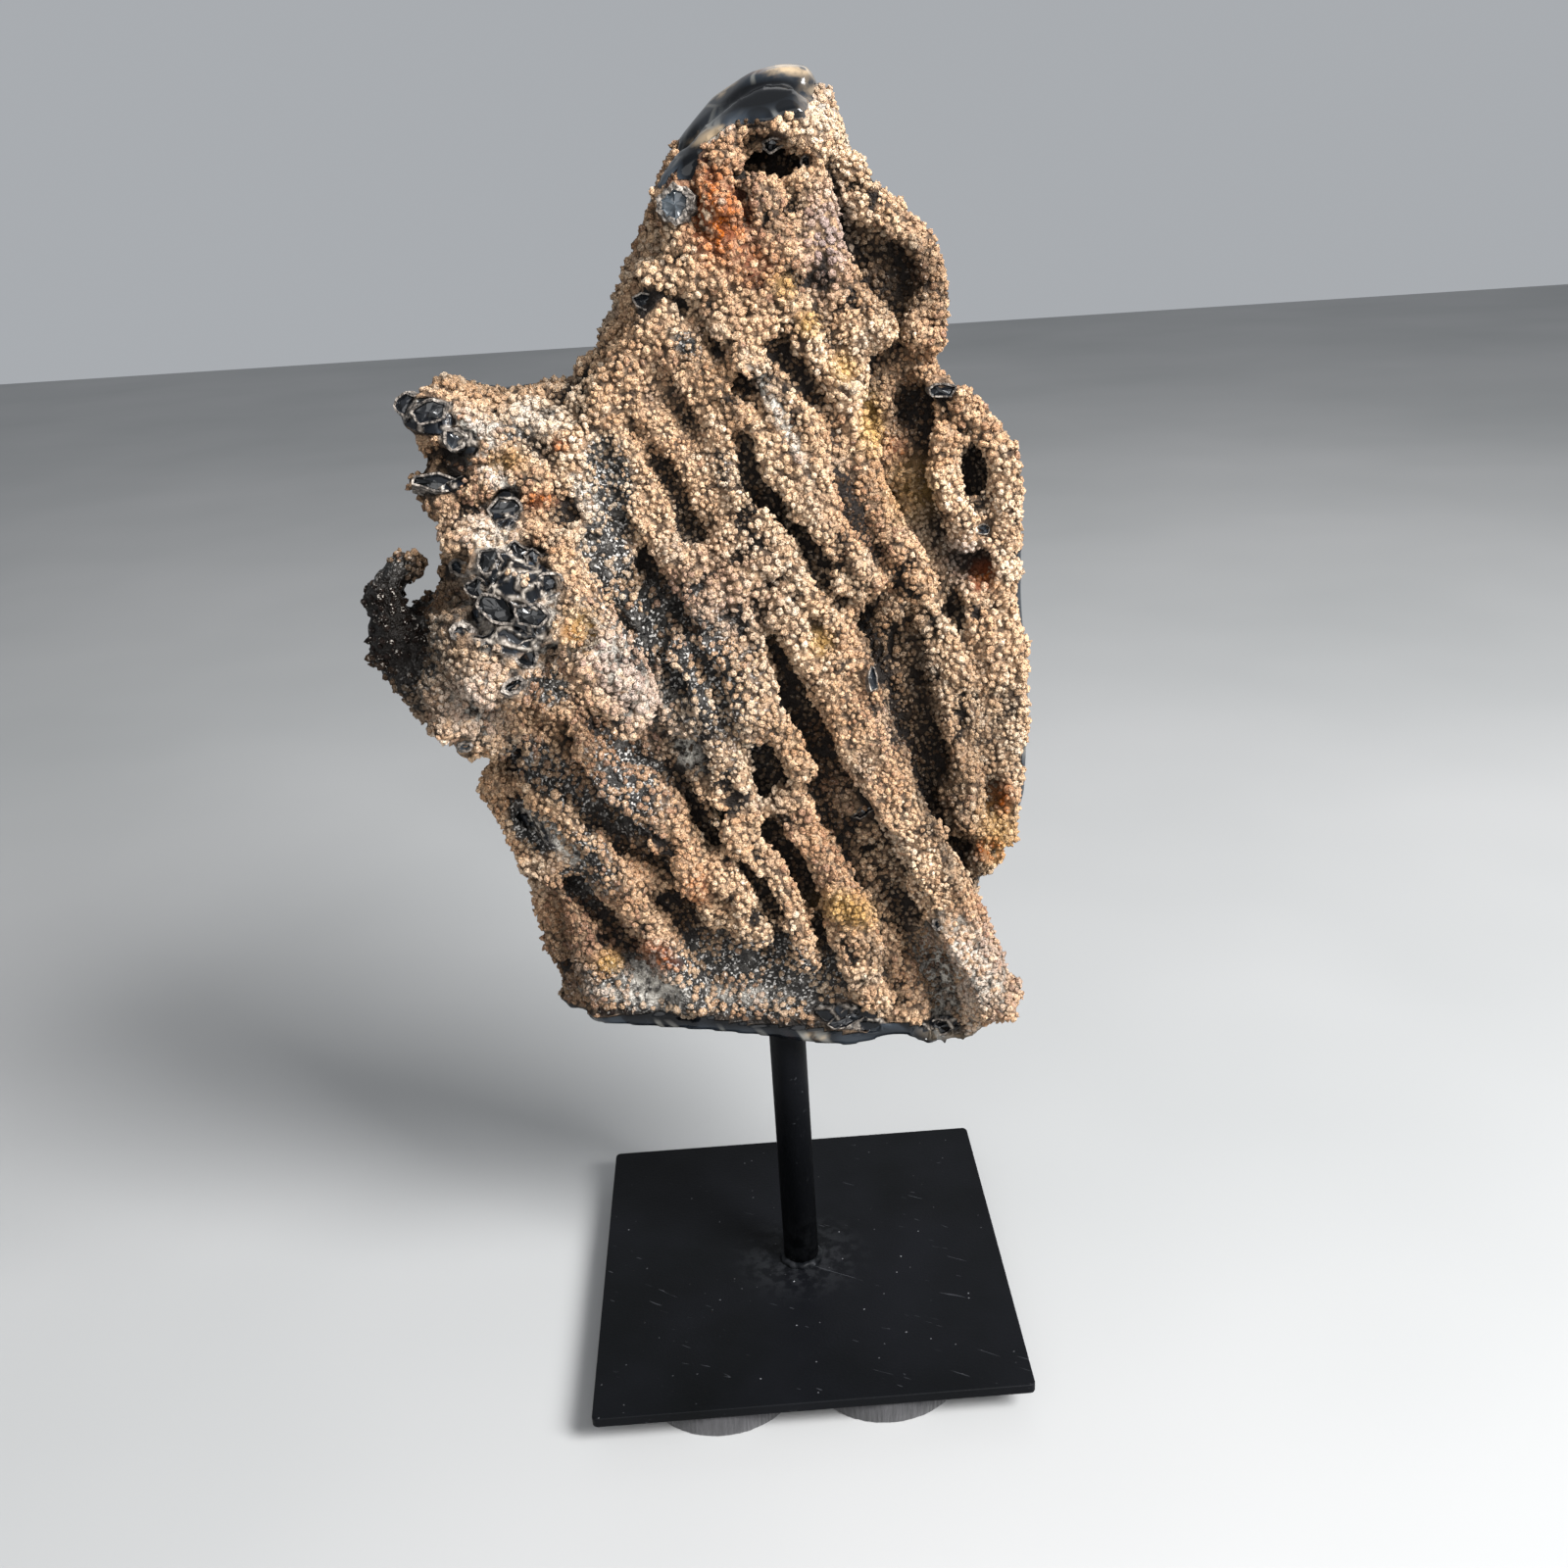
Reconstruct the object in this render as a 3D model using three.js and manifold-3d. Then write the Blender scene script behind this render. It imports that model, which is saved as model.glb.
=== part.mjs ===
// A head of agatised fossil coral on a small welded steel stand.
// Millimetres, +Z up, the natural face towards -Y and the polished back towards +Y. The parts are laid out
// from the centre of the plate's top face, and the whole group is then stood on the centre of its own foot.
import * as THREE from "three";
import { mergeVertices } from "three/addons/utils/BufferGeometryUtils.js";
import Module from "manifold-3d";

const wasm = await Module();
wasm.setup();

// Stand
const PLATE_WIDTH = 120;
const PLATE_THICKNESS = 3;
const PLATE_CORNER = 2;
const PLATE_EDGE = 0.4;
const ROD_RADIUS = 5.2;
const WELD_RADIUS = 7.6;
const WELD_HEIGHT = 2.4;
const SOCKET_DEPTH = 32;
const SOCKET_CLEARANCE = 0.3;
const PAD_RADIUS = 22.5;
const PAD_THICKNESS = 7;
const PAD_PLACES = {
  front_left: [-25, -37],
  front_right: [21, -37],
  rear_left: [-25, 37],
  rear_right: [21, 37],
};

// Coral: the slab between the polished back and the natural face, and the cuts
const BACK = 22;
const SLAB_FRONT = 3;
const FACE_FRONT = -12;
const BACK_ROUNDING = 6;
const FACE_ROUNDING = 4;
const FOOT_Z = 83;
const PEAK_FACETS = [
  { point: [12, -12, 317], direction: [-0.25, -0.7, 1] },
  { point: [-9, -12, 310], direction: [-0.7, -0.4, 1] },
];
const TIP_BLUNTNESS = 0.75;
const LUMP_PITCH = 26;

// The whole outline seen from the front, [x, z], clockwise from the foot's left end
const OUTLINE = [
  [-60, 86], [-60, 104], [-61, 122], [-64, 142], [-71, 158], [-76, 176], [-78, 196], [-76, 214], [-73, 232],
  [-77, 248], [-80, 262], [-73, 265], [-60, 261], [-44, 262], [-37, 268], [-30, 278], [-25, 291],
  [-19, 304], [-13, 314], [-3, 324], [6, 328.6], [13, 330], [19, 329.5], [24, 322], [29, 305], [38, 298],
  [48, 290], [51, 279], [47, 267], [50, 256], [60, 248], [67, 238], [69, 222], [69, 200],
  [71, 172], [70, 145], [66, 130], [58, 120], [54, 106], [55, 92], [50, 73], [38, 71],
  [26, 74], [10, 74], [-8, 77], [-32, 83],
];

// The thick main lobe, [x, z], clockwise from the foot's left end
const MAIN_LOBE = [
  [-55, 88], [-56, 104], [-58, 124], [-62, 144], [-66, 160], [-62, 184], [-62, 214], [-56, 240], [-40, 258],
  [-30, 270], [-23, 284], [-16, 294], [4, 297], [20, 292], [30, 276], [30, 258], [24, 244],
  [28, 228], [34, 212], [24, 200], [30, 184], [36, 164], [45, 140], [53, 118], [58, 100],
  [58, 84], [50, 73], [38, 71], [24, 74], [8, 74], [-32, 83],
];

// Branches that stand out of the face. Each point is [x, y, z, radius], from the upper end down.
const FACE_BRANCHES = {
  crest: [[-11, -8, 294, 5], [-5, -11, 279, 5], [3, -13, 265, 5.5], [11, -15, 250, 6], [16, -15, 236, 6],
    [21, -14, 221, 6.5], [23, -13, 212, 6]],
  thin_ridge: [[-17, -11, 273, 3.5], [-8, -13, 263, 4], [0, -15, 253, 4], [8, -16, 240, 4], [12, -16, 230, 5]],
  top_edge: [[-9, -3, 311, 5], [-13, -5, 303, 6], [-12, -6, 293, 6]],
  top_left: [[-3, -4, 310, 6], [-3, -7, 299, 6], [0, -10, 287, 5], [6, -12, 272, 5]],
  top_middle: [[7, -4, 304, 6], [8, -8, 294, 6], [11, -11, 281, 5.5], [17, -11, 267, 6], [23, -11, 256, 6]],
  top_right: [[16, -3, 305, 6], [19, -6, 292, 6], [24, -8, 279, 6], [31, -6, 269, 6]],
  brow: [[-5, -2, 314, 6], [4, -3, 319, 8], [14, -3, 320, 8], [22, -2, 312, 6]],
  middle: [[21, -9, 258, 6], [24, -8, 246, 6], [29, -8, 232, 6], [35, -8, 219, 6.5], [40, -7, 207, 6]],
  great: [[4, -13, 212, 6], [11, -15, 196, 7], [21, -16, 178, 7.5], [29, -17, 160, 8], [38, -17, 141, 8],
    [46, -17, 122, 8], [53, -16, 105, 8], [57, -14, 90, 8]],
  great_upper: [[12, -12, 214, 5], [20, -13, 196, 5.5], [27, -13, 180, 5.5], [31, -14, 165, 5]],
  third: [[-14, -12, 224, 6], [-9, -15, 213, 5], [-3, -17, 198, 5], [2, -18, 180, 5.5], [8, -18, 165, 5.5]],
  fourth: [[-17, -15, 224, 5], [-12, -17, 204, 5.5], [-6, -18, 187, 5.5], [-2, -18, 176, 5]],
  fifth: [[-21, -15, 202, 5.5], [-16, -16, 185, 5.5], [-10, -17, 166, 6], [-7, -17, 149, 5]],
  sixth: [[-16, -16, 166, 6], [-9, -17, 149, 6], [-1, -18, 136, 6], [4, -17, 124, 5.5], [6, -15, 108, 5]],
  seventh: [[3, -15, 158, 6], [12, -16, 141, 6], [18, -16, 122, 6.5], [22, -15, 104, 6], [24, -13, 95, 6]],
  eighth: [[-15, -16, 144, 5], [-9, -18, 130, 6], [-6, -15, 118, 5]],
  low_first: [[-59, -9, 163, 6], [-49, -12, 149, 6], [-40, -14, 135, 6], [-31, -14, 117, 6], [-25, -13, 97, 6]],
  low_second: [[-37, -13, 166, 6], [-27, -15, 151, 6.5], [-19, -15, 135, 6], [-16, -14, 124, 5]],
  low_third: [[-55, -12, 180, 5], [-45, -17, 173, 5.5], [-38, -16, 162, 6], [-31, -15, 147, 6], [-26, -14, 134, 5]],
  low_fourth: [[-64, -4, 143, 6], [-53, -7, 130, 6], [-46, -8, 113, 6], [-48, -7, 96, 6]],
  left_edge: [[-72, 0, 163, 6], [-64, 0, 140, 6], [-59, 0, 119, 6], [-58, 0, 104, 6], [-59, 1, 91, 6]],
  shoulder: [[-37, -2, 259, 8], [-28, -9, 240, 8], [-20, -12, 223, 7], [-15, -13, 209, 6]],
  slope_lower: [[-28, -3, 267, 8], [-17, -8, 248, 8], [-8, -13, 229, 7], [-2, -14, 212, 6]],
  slope_upper: [[-21, -5, 278, 7], [-11, -10, 260, 7], [-3, -12, 239, 7], [5, -14, 220, 7], [13, -13, 207, 6]],
  neck: [[-19, -3, 287, 7], [-13, -8, 271, 6], [-5, -12, 253, 6]],
  flank: [[-48, -5, 252, 9], [-40, -8, 233, 10], [-31, -9, 213, 9], [-24, -11, 194, 8], [-18, -13, 177, 7]],
  peak: [[11, 5, 320, 8], [18, 4, 316, 8], [22, 4, 306, 6]],
};

// Branches of the thin right lobe: its raised rim and what lies inside it
const RIGHT_BRANCHES = {
  upper_rim: [[27, 4, 306, 5], [33, 3, 297, 5], [43, 3, 290, 5], [46, 3, 280, 5], [43, 2, 267, 6]],
  rim: [[44, 2, 258, 5], [53, 0, 249, 6], [62, -1, 238, 6], [62, 1, 220, 5.5], [64, 3, 193, 5], [65, 4, 166, 5],
    [63, 4, 141, 5], [55, 2, 127, 5]],
  inner_rim: [[48, -1, 246, 6], [49, -1, 231, 6], [54, 0, 217, 5]],
  inner_first: [[44, 4, 201, 6], [49, 3, 180, 7], [53, 2, 157, 7], [52, 2, 138, 7]],
  inner_second: [[56, 4, 206, 6], [57, 4, 190, 7], [59, 5, 172, 7], [58, 5, 152, 7]],
};

// The cluster of broken branch ends that leans out on the left, with the arm above it and the hook behind it
const LEFT_BRANCHES = {
  root: [[-40, -6, 224, 14], [-50, -22, 214, 14], [-60, -27, 208, 13]],
  cut_cells: [[-62, -30, 227, 9], [-55, -36, 220, 10], [-53, -38, 209, 9]],
  leaning_tube: [[-48, -34, 226, 7], [-41, -40, 212, 9], [-34, -43, 199, 9], [-31, -40, 192, 8]],
  lower: [[-77, -34, 202, 8], [-70, -36, 194, 9], [-70, -30, 184, 7]],
  middle_ends: [[-73, -36, 214, 7], [-64, -40, 203, 8], [-55, -40, 202, 7]],
  under_arm: [[-70, -18, 232, 8], [-58, -20, 231, 8], [-48, -14, 226, 9]],
  arm: [[-78, -10, 260, 6], [-72, -11, 256, 8], [-59, -9, 253, 8], [-45, -5, 252, 8]],
  arm_lower: [[-76, -10, 240, 7], [-65, -14, 239, 9], [-51, -10, 239, 10]],
  arm_tooth: [[-79, -6, 251, 3], [-70, -6, 250, 6]],
  arm_lower_tooth: [[-82, -8, 243, 3], [-72, -8, 242, 5]],
  hook: [[-83, -12, 226, 4], [-90, -12, 221, 6], [-91, -12, 211, 7], [-87, -14, 199, 8], [-78, -14, 189, 9],
    [-66, -8, 180, 11]],
  behind_hook: [[-84, -6, 204, 7], [-74, -6, 212, 9], [-70, -5, 226, 8]],
};

// Gullies and slots cut between the branches
const GULLIES = {
  right_gully: [[27, -7, 203, 4], [33, -4, 188, 5], [38, -3, 168, 6], [43, -3, 149, 6], [49, -4, 132, 4]],
  upper_gully: [[18, -10, 238, 3], [23, -8, 223, 4], [29, -7, 207, 4]],
  lower_gully: [[18, -16, 154, 3], [29, -14, 129, 5], [38, -13, 107, 6], [45, -13, 80, 6]],
  long_slot: [[2, -18, 200, 2.5], [6, -17, 185, 3.5], [12, -17, 171, 4], [17, -17, 163, 3]],
  short_slot: [[0, -20, 172, 3], [3, -19, 162, 3]],
  neck_slot: [[-16, -14, 281, 2.5], [-12, -15, 275, 3], [-7, -16, 269, 2]],
  crest_slot: [[-2, -17, 250, 2.5], [0, -17, 241, 3], [2, -16, 233, 3], [6, -15, 229, 2.5]],
  tip_slot: [[10, -17, 224, 2.5], [13, -17, 218, 3], [17, -16, 212, 2]],
  shadow_gully: [[-58, -17, 182, 6], [-49, -16, 170, 5.5], [-41, -16, 158, 4], [-32, -17, 143, 4], [-24, -18, 128, 3]],
  foot_slot: [[-9, -20, 143, 2.5], [-2, -20, 128, 3]],
  foot_slot_right: [[5, -18, 140, 2], [9, -18, 126, 2.5], [11, -17, 110, 2]],
  foot_slot_left: [[-55, -9, 135, 3.5], [-45, -12, 121, 4], [-39, -13, 106, 4]],
  flank_slot: [[-28, -16, 218, 3], [-25, -17, 205, 3], [-22, -18, 190, 3]],
  low_slot: [[-26, -18, 189, 2.5], [-21, -18, 173, 2.5], [-14, -20, 155, 2.5]],
  right_hollow: [[37, -2, 261, 4], [40, 0, 251, 6], [42, 0, 240, 4]],
  rim_groove: [[57, -5, 209, 3], [58, -4, 197, 3], [57, -3, 184, 3]],
  upper_hollow: [[31, -5, 289, 5], [37, -1, 282, 6]],
};

// Pits where a branch is hollow or broken across: [x, y, z, radius]
const PITS = [
  [-67, -40, 228, 3], [-68, -46, 214, 3], [-57, -50, 203, 2.5], [-54, -50, 211, 4], [-58, -25, 238, 4],
  [57, -7, 209, 3], [63, -4, 147, 3.5], [59, -5, 133, 3], [5, -8, 311, 4.5], [12, -8, 310, 4],
  [19, -9, 306, 2.5], [-72, -19, 244, 3],
];

// Patches of the face that are covered in rounded lumps: [x from, x to, z from, z to]
const LUMP_PATCHES = [
  [-30, 34, 240, 306],
  [-44, 18, 192, 240],
  [-50, 20, 104, 192],
  [-74, -50, 188, 262],
  [42, 66, 128, 250],
];

// A three.js geometry as a solid: its shared vertices are merged and collapsed triangles left out.
function solidOf(geometry) {
  const bare = new THREE.BufferGeometry();
  bare.setAttribute("position", geometry.getAttribute("position").clone());
  bare.setIndex(geometry.getIndex());
  const merged = mergeVertices(bare, 1e-3);
  const corners = [];
  const index = merged.getIndex().array;
  for (let i = 0; i < index.length; i += 3) {
    const [a, b, c] = [index[i], index[i + 1], index[i + 2]];
    if (a !== b && b !== c && c !== a) corners.push(a, b, c);
  }
  const mesh = new wasm.Mesh({
    numProp: 3,
    vertProperties: new Float32Array(merged.getAttribute("position").array),
    triVerts: new Uint32Array(corners),
  });
  return new wasm.Manifold(mesh);
}

function joined(solids) {
  return solids.reduce((sum, solid) => sum.add(solid));
}

function geometryOf(solid) {
  const { vertProperties, triVerts } = solid.getMesh();
  const geometry = new THREE.BufferGeometry();
  geometry.setAttribute("position", new THREE.BufferAttribute(new Float32Array(vertProperties), 3));
  geometry.setIndex(new THREE.BufferAttribute(new Uint32Array(triVerts), 1));
  geometry.computeVertexNormals();
  return geometry;
}

// An outline in X and Z as a solid from y = front to y = back, its edges rounded on both sides.
function slabFrom(outline, front, back, rounding, steps) {
  const points = outline.map(([x, z]) => new THREE.Vector2(x, z));
  const geometry = new THREE.ExtrudeGeometry(new THREE.Shape(points), {
    depth: back - front - 2 * rounding,
    bevelThickness: rounding,
    bevelSize: rounding * 0.7,
    bevelOffset: -rounding * 0.7,
    bevelSegments: steps,
    curveSegments: 1,
  });
  geometry.rotateX(Math.PI / 2);
  geometry.translate(0, back - rounding, 0);
  return solidOf(geometry);
}

// A coral branch: a capsule bent along a curve, its radius following the points and swelling into knobs.
// Its rings stand about spacing radii apart.
function branch(points, { sides = 6, spacing = 2, knobs = 0.2 } = {}) {
  const curve = new THREE.CatmullRomCurve3(points.map(([x, y, z]) => new THREE.Vector3(x, y, z)));
  const meanRadius = points.reduce((sum, point) => sum + point[3], 0) / points.length;
  const rings = Math.max(2, Math.round(curve.getLength() / (spacing * meanRadius)));
  const geometry = new THREE.CapsuleGeometry(1, 2, 1, sides, rings);
  const place = geometry.getAttribute("position");
  const vertex = new THREE.Vector3();
  const depthwards = new THREE.Vector3(0, 1, 0);
  for (let i = 0; i < place.count; i += 1) {
    vertex.fromBufferAttribute(place, i);
    const along = THREE.MathUtils.clamp((vertex.y + 1) / 2, 0, 1);
    const beyond = vertex.y - THREE.MathUtils.clamp(vertex.y, -1, 1);
    const step = along * (points.length - 1);
    const before = Math.min(Math.floor(step), points.length - 2);
    const radius = THREE.MathUtils.lerp(points[before][3], points[before + 1][3], step - before);
    const turn = Math.round((Math.atan2(vertex.x, vertex.z) / (2 * Math.PI)) * sides + sides) % sides;
    const swell = 1 + knobs * Math.sin(2.3 * turn + 1.9 * Math.round(along * rings) + points[0][0]);
    const tangent = curve.getTangent(along);
    const across = tangent.clone().cross(depthwards).normalize();
    const outward = across.clone().cross(tangent);
    const centre = curve.getPoint(along);
    centre.addScaledVector(across, vertex.x * radius * swell);
    centre.addScaledVector(outward, vertex.z * radius * swell);
    centre.addScaledVector(tangent, beyond * radius * TIP_BLUNTNESS);
    place.setXYZ(i, centre.x, centre.y, centre.z);
  }
  return solidOf(geometry);
}

function branches(set, options) {
  return Object.values(set).map((points) => branch(points, options));
}

// The same number from the same seed, from 0 to 1.
function scatter(seed) {
  const value = Math.sin(seed * 12.9898) * 43758.5453;
  return value - Math.floor(value);
}

// A rounded lump of the crust: a small irregular icosahedron.
function lump(x, y, z, radius, seed) {
  const geometry = new THREE.IcosahedronGeometry(radius, 0);
  geometry.rotateX(6 * scatter(seed));
  geometry.rotateZ(6 * scatter(seed + 0.5));
  geometry.translate(x, y, z);
  return solidOf(geometry);
}

// The balls that the branches are strung from, for finding where the face lies: [x, y, z, radius].
const BALLS = [FACE_BRANCHES, RIGHT_BRANCHES, LEFT_BRANCHES].flatMap((set) =>
  Object.values(set).flatMap((points) =>
    points.slice(1).flatMap((end, i) =>
      [0, 0.33, 0.67, 1].map((part) => end.map((value, k) => THREE.MathUtils.lerp(points[i][k], value, part))),
    ),
  ),
);

// How far forward the face lies at a place seen from the front, or undefined off the branches.
function faceAt(x, z) {
  const hits = BALLS.filter(([bx, , bz, radius]) => Math.hypot(bx - x, bz - z) < 0.75 * radius).map(
    ([bx, by, bz, radius]) => by - Math.sqrt(radius ** 2 - (bx - x) ** 2 - (bz - z) ** 2),
  );
  return hits.length ? Math.min(...hits) : undefined;
}

function lumps() {
  const made = [];
  let seed = 1;
  for (const [left, right, low, high] of LUMP_PATCHES) {
    for (let z = low; z < high; z += LUMP_PITCH) {
      for (let x = left; x < right; x += LUMP_PITCH) {
        seed += 1;
        const place = x + (scatter(seed) - 0.5) * LUMP_PITCH * 0.8;
        const height = z + (scatter(seed + 0.3) - 0.5) * LUMP_PITCH * 0.8;
        const face = faceAt(place, height);
        if (face === undefined) continue;
        const radius = 3.8 + 1.4 * scatter(seed + 0.7);
        made.push(lump(place, face + 0.35 * radius, height, radius, seed));
      }
    }
  }
  return made;
}

function pits() {
  return PITS.map(([x, y, z, radius], i) => lump(x, y, z, radius, i));
}

// Everything below the foot's sloping cut.
function belowFoot() {
  const edge = [
    [-120, 101], [-54, 93], [-39, 90.6], [-20, 87.4], [-5, 84.4], [6, 81.5], [16, 79.8], [22, 80.2], [28, 82.2],
    [33, 81.8], [38, 78.6], [44, 77.2], [51, 79.4], [58, 82], [64, 86], [72, 92], [100, 98], [100, 40], [-120, 40],
  ];
  const points = edge.map(([x, z]) => new THREE.Vector2(x, z));
  const geometry = new THREE.ExtrudeGeometry(new THREE.Shape(points), { depth: 160, bevelEnabled: false });
  geometry.rotateX(Math.PI / 2);
  geometry.translate(0, 80, 0);
  return solidOf(geometry);
}

// A large block whose lower face is a cut through a point, facing along a direction.
function beyondCut([x, y, z], direction) {
  const size = 90;
  const geometry = new THREE.BoxGeometry(size, size, size);
  geometry.translate(0, 0, size / 2);
  const turn = new THREE.Quaternion().setFromUnitVectors(new THREE.Vector3(0, 0, 1), direction.normalize());
  geometry.applyQuaternion(turn);
  geometry.translate(x, y, z);
  return solidOf(geometry);
}

function socket() {
  const radius = ROD_RADIUS + SOCKET_CLEARANCE;
  const bottom = FOOT_Z - 20;
  const height = 20 + SOCKET_DEPTH + SOCKET_CLEARANCE;
  const geometry = new THREE.CylinderGeometry(radius, radius, height, 16);
  geometry.rotateX(Math.PI / 2);
  geometry.translate(0, 0, bottom + height / 2);
  return solidOf(geometry);
}

function coralGeometry() {
  const slab = slabFrom(OUTLINE, SLAB_FRONT, BACK, BACK_ROUNDING, 2);
  const lobe = slabFrom(MAIN_LOBE, FACE_FRONT, BACK - BACK_ROUNDING, FACE_ROUNDING, 1);
  const grown = [
    slab,
    lobe,
    ...branches(FACE_BRANCHES),
    ...branches(RIGHT_BRANCHES),
    ...branches(LEFT_BRANCHES),
    ...lumps(),
  ];
  const lost = [...branches(GULLIES, { sides: 5, spacing: 4, knobs: 0.1 }), ...pits(), belowFoot(), socket()];
  const facets = PEAK_FACETS.map(({ point, direction }) => beyondCut(point, new THREE.Vector3(...direction)));
  return geometryOf(joined(grown).subtract(joined(lost)).subtract(joined(facets)));
}

function rodGeometry() {
  const top = FOOT_Z + SOCKET_DEPTH;
  const chamfer = 1;
  const profile = [
    new THREE.Vector2(0, 0),
    new THREE.Vector2(WELD_RADIUS, 0),
    new THREE.Vector2(WELD_RADIUS - 0.5, WELD_HEIGHT * 0.35),
    new THREE.Vector2(ROD_RADIUS + 0.8, WELD_HEIGHT * 0.75),
    new THREE.Vector2(ROD_RADIUS, WELD_HEIGHT),
    new THREE.Vector2(ROD_RADIUS, top - chamfer),
    new THREE.Vector2(ROD_RADIUS - chamfer, top),
    new THREE.Vector2(0, top),
  ];
  const geometry = new THREE.LatheGeometry(profile, 16);
  geometry.rotateX(Math.PI / 2);
  return geometryOf(solidOf(geometry));
}

function plateGeometry() {
  const half = PLATE_WIDTH / 2 - PLATE_CORNER;
  const shape = new THREE.Shape();
  shape.absarc(half, half, PLATE_CORNER, 0, Math.PI / 2);
  shape.absarc(-half, half, PLATE_CORNER, Math.PI / 2, Math.PI);
  shape.absarc(-half, -half, PLATE_CORNER, Math.PI, 1.5 * Math.PI);
  shape.absarc(half, -half, PLATE_CORNER, 1.5 * Math.PI, 2 * Math.PI);
  const geometry = new THREE.ExtrudeGeometry(shape, {
    depth: PLATE_THICKNESS - 2 * PLATE_EDGE,
    bevelThickness: PLATE_EDGE,
    bevelSize: PLATE_EDGE,
    bevelOffset: -PLATE_EDGE,
    bevelSegments: 1,
    curveSegments: 2,
  });
  geometry.translate(0, 0, PLATE_EDGE - PLATE_THICKNESS);
  return geometryOf(solidOf(geometry));
}

function padGeometry() {
  const profile = [
    new THREE.Vector2(0, 0),
    new THREE.Vector2(PAD_RADIUS, 0),
    new THREE.Vector2(PAD_RADIUS, PAD_THICKNESS),
    new THREE.Vector2(0, PAD_THICKNESS),
  ];
  const geometry = new THREE.LatheGeometry(profile, 24);
  geometry.rotateX(Math.PI / 2);
  return geometryOf(solidOf(geometry));
}

const coralStone = new THREE.MeshStandardMaterial({ color: "#a98a66", roughness: 0.75, metalness: 0 });
const blackPaint = new THREE.MeshStandardMaterial({ color: "#17181b", roughness: 0.5, metalness: 0.2 });
const greyFelt = new THREE.MeshStandardMaterial({ color: "#35363a", roughness: 0.95, metalness: 0 });

function named(name, geometry, material) {
  const mesh = new THREE.Mesh(geometry, material);
  mesh.name = name;
  return mesh;
}

const stand = new THREE.Group();
stand.add(named("base_plate", plateGeometry(), blackPaint));
stand.add(named("rod", rodGeometry(), blackPaint));
for (const [place, [x, y]] of Object.entries(PAD_PLACES)) {
  const pad = named("felt_pad_" + place, padGeometry(), greyFelt);
  pad.position.set(x, y, -PLATE_THICKNESS - PAD_THICKNESS);
  stand.add(pad);
}

const group = new THREE.Group();
group.add(stand);
group.add(named("coral_head", coralGeometry(), coralStone));

const box = new THREE.Box3().setFromObject(group, true);
const centre = box.getCenter(new THREE.Vector3());
group.position.set(-centre.x, -centre.y, -box.min.z);

export default group;
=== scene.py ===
"""A head of agatised fossil coral on a small welded steel stand.

Metres, +Z up, with the natural face towards -Y and the polished back towards +Y. The stone is one body grown
over the frame's solid: its branches are evened out, then roughened into clumps, and thousands of small
rounded nodules sit on everything that was never cut or polished. Sizes that come from the stone's layout are
in millimetres from the centre of the plate's top face, and places on its face are in pixels of a frame of
1600 by 1600.
"""

import logging
import math
from dataclasses import dataclass, field
from enum import Enum

import bmesh
import bpy
import numpy as np
from mathutils import Matrix, Vector
from mathutils.bvhtree import BVHTree
from mathutils.kdtree import KDTree

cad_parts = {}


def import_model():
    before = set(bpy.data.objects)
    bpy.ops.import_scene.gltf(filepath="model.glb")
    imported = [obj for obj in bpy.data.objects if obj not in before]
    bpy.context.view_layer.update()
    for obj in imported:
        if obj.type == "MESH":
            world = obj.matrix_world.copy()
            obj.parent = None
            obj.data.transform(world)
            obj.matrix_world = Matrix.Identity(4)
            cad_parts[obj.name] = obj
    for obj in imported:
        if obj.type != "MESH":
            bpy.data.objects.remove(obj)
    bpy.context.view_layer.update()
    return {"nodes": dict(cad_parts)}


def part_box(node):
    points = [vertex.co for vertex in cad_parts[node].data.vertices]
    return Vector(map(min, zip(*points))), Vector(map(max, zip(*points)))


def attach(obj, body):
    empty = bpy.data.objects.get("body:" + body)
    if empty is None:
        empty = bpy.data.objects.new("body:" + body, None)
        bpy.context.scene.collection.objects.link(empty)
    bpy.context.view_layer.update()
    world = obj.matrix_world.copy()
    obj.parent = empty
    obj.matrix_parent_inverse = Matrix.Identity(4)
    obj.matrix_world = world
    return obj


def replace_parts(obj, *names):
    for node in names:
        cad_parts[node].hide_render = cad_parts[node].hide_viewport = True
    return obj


log = logging.getLogger("coral")
MM = 0.001
Colour = tuple[float, float, float, float]
Triple = tuple[float, float, float]


def shade(code: str) -> Colour:
    """A colour as the eye sees it, turned into the linear values that shaders use.

    Args:
        code: six hexadecimal digits after a hash.

    Returns:
        Red, green, blue and an alpha of one.
    """
    parts = [int(code[i : i + 2], 16) / 255 for i in (1, 3, 5)]
    linear = [p / 12.92 if p <= 0.04045 else ((p + 0.055) / 1.055) ** 2.4 for p in parts]
    return (*linear, 1.0)


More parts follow.
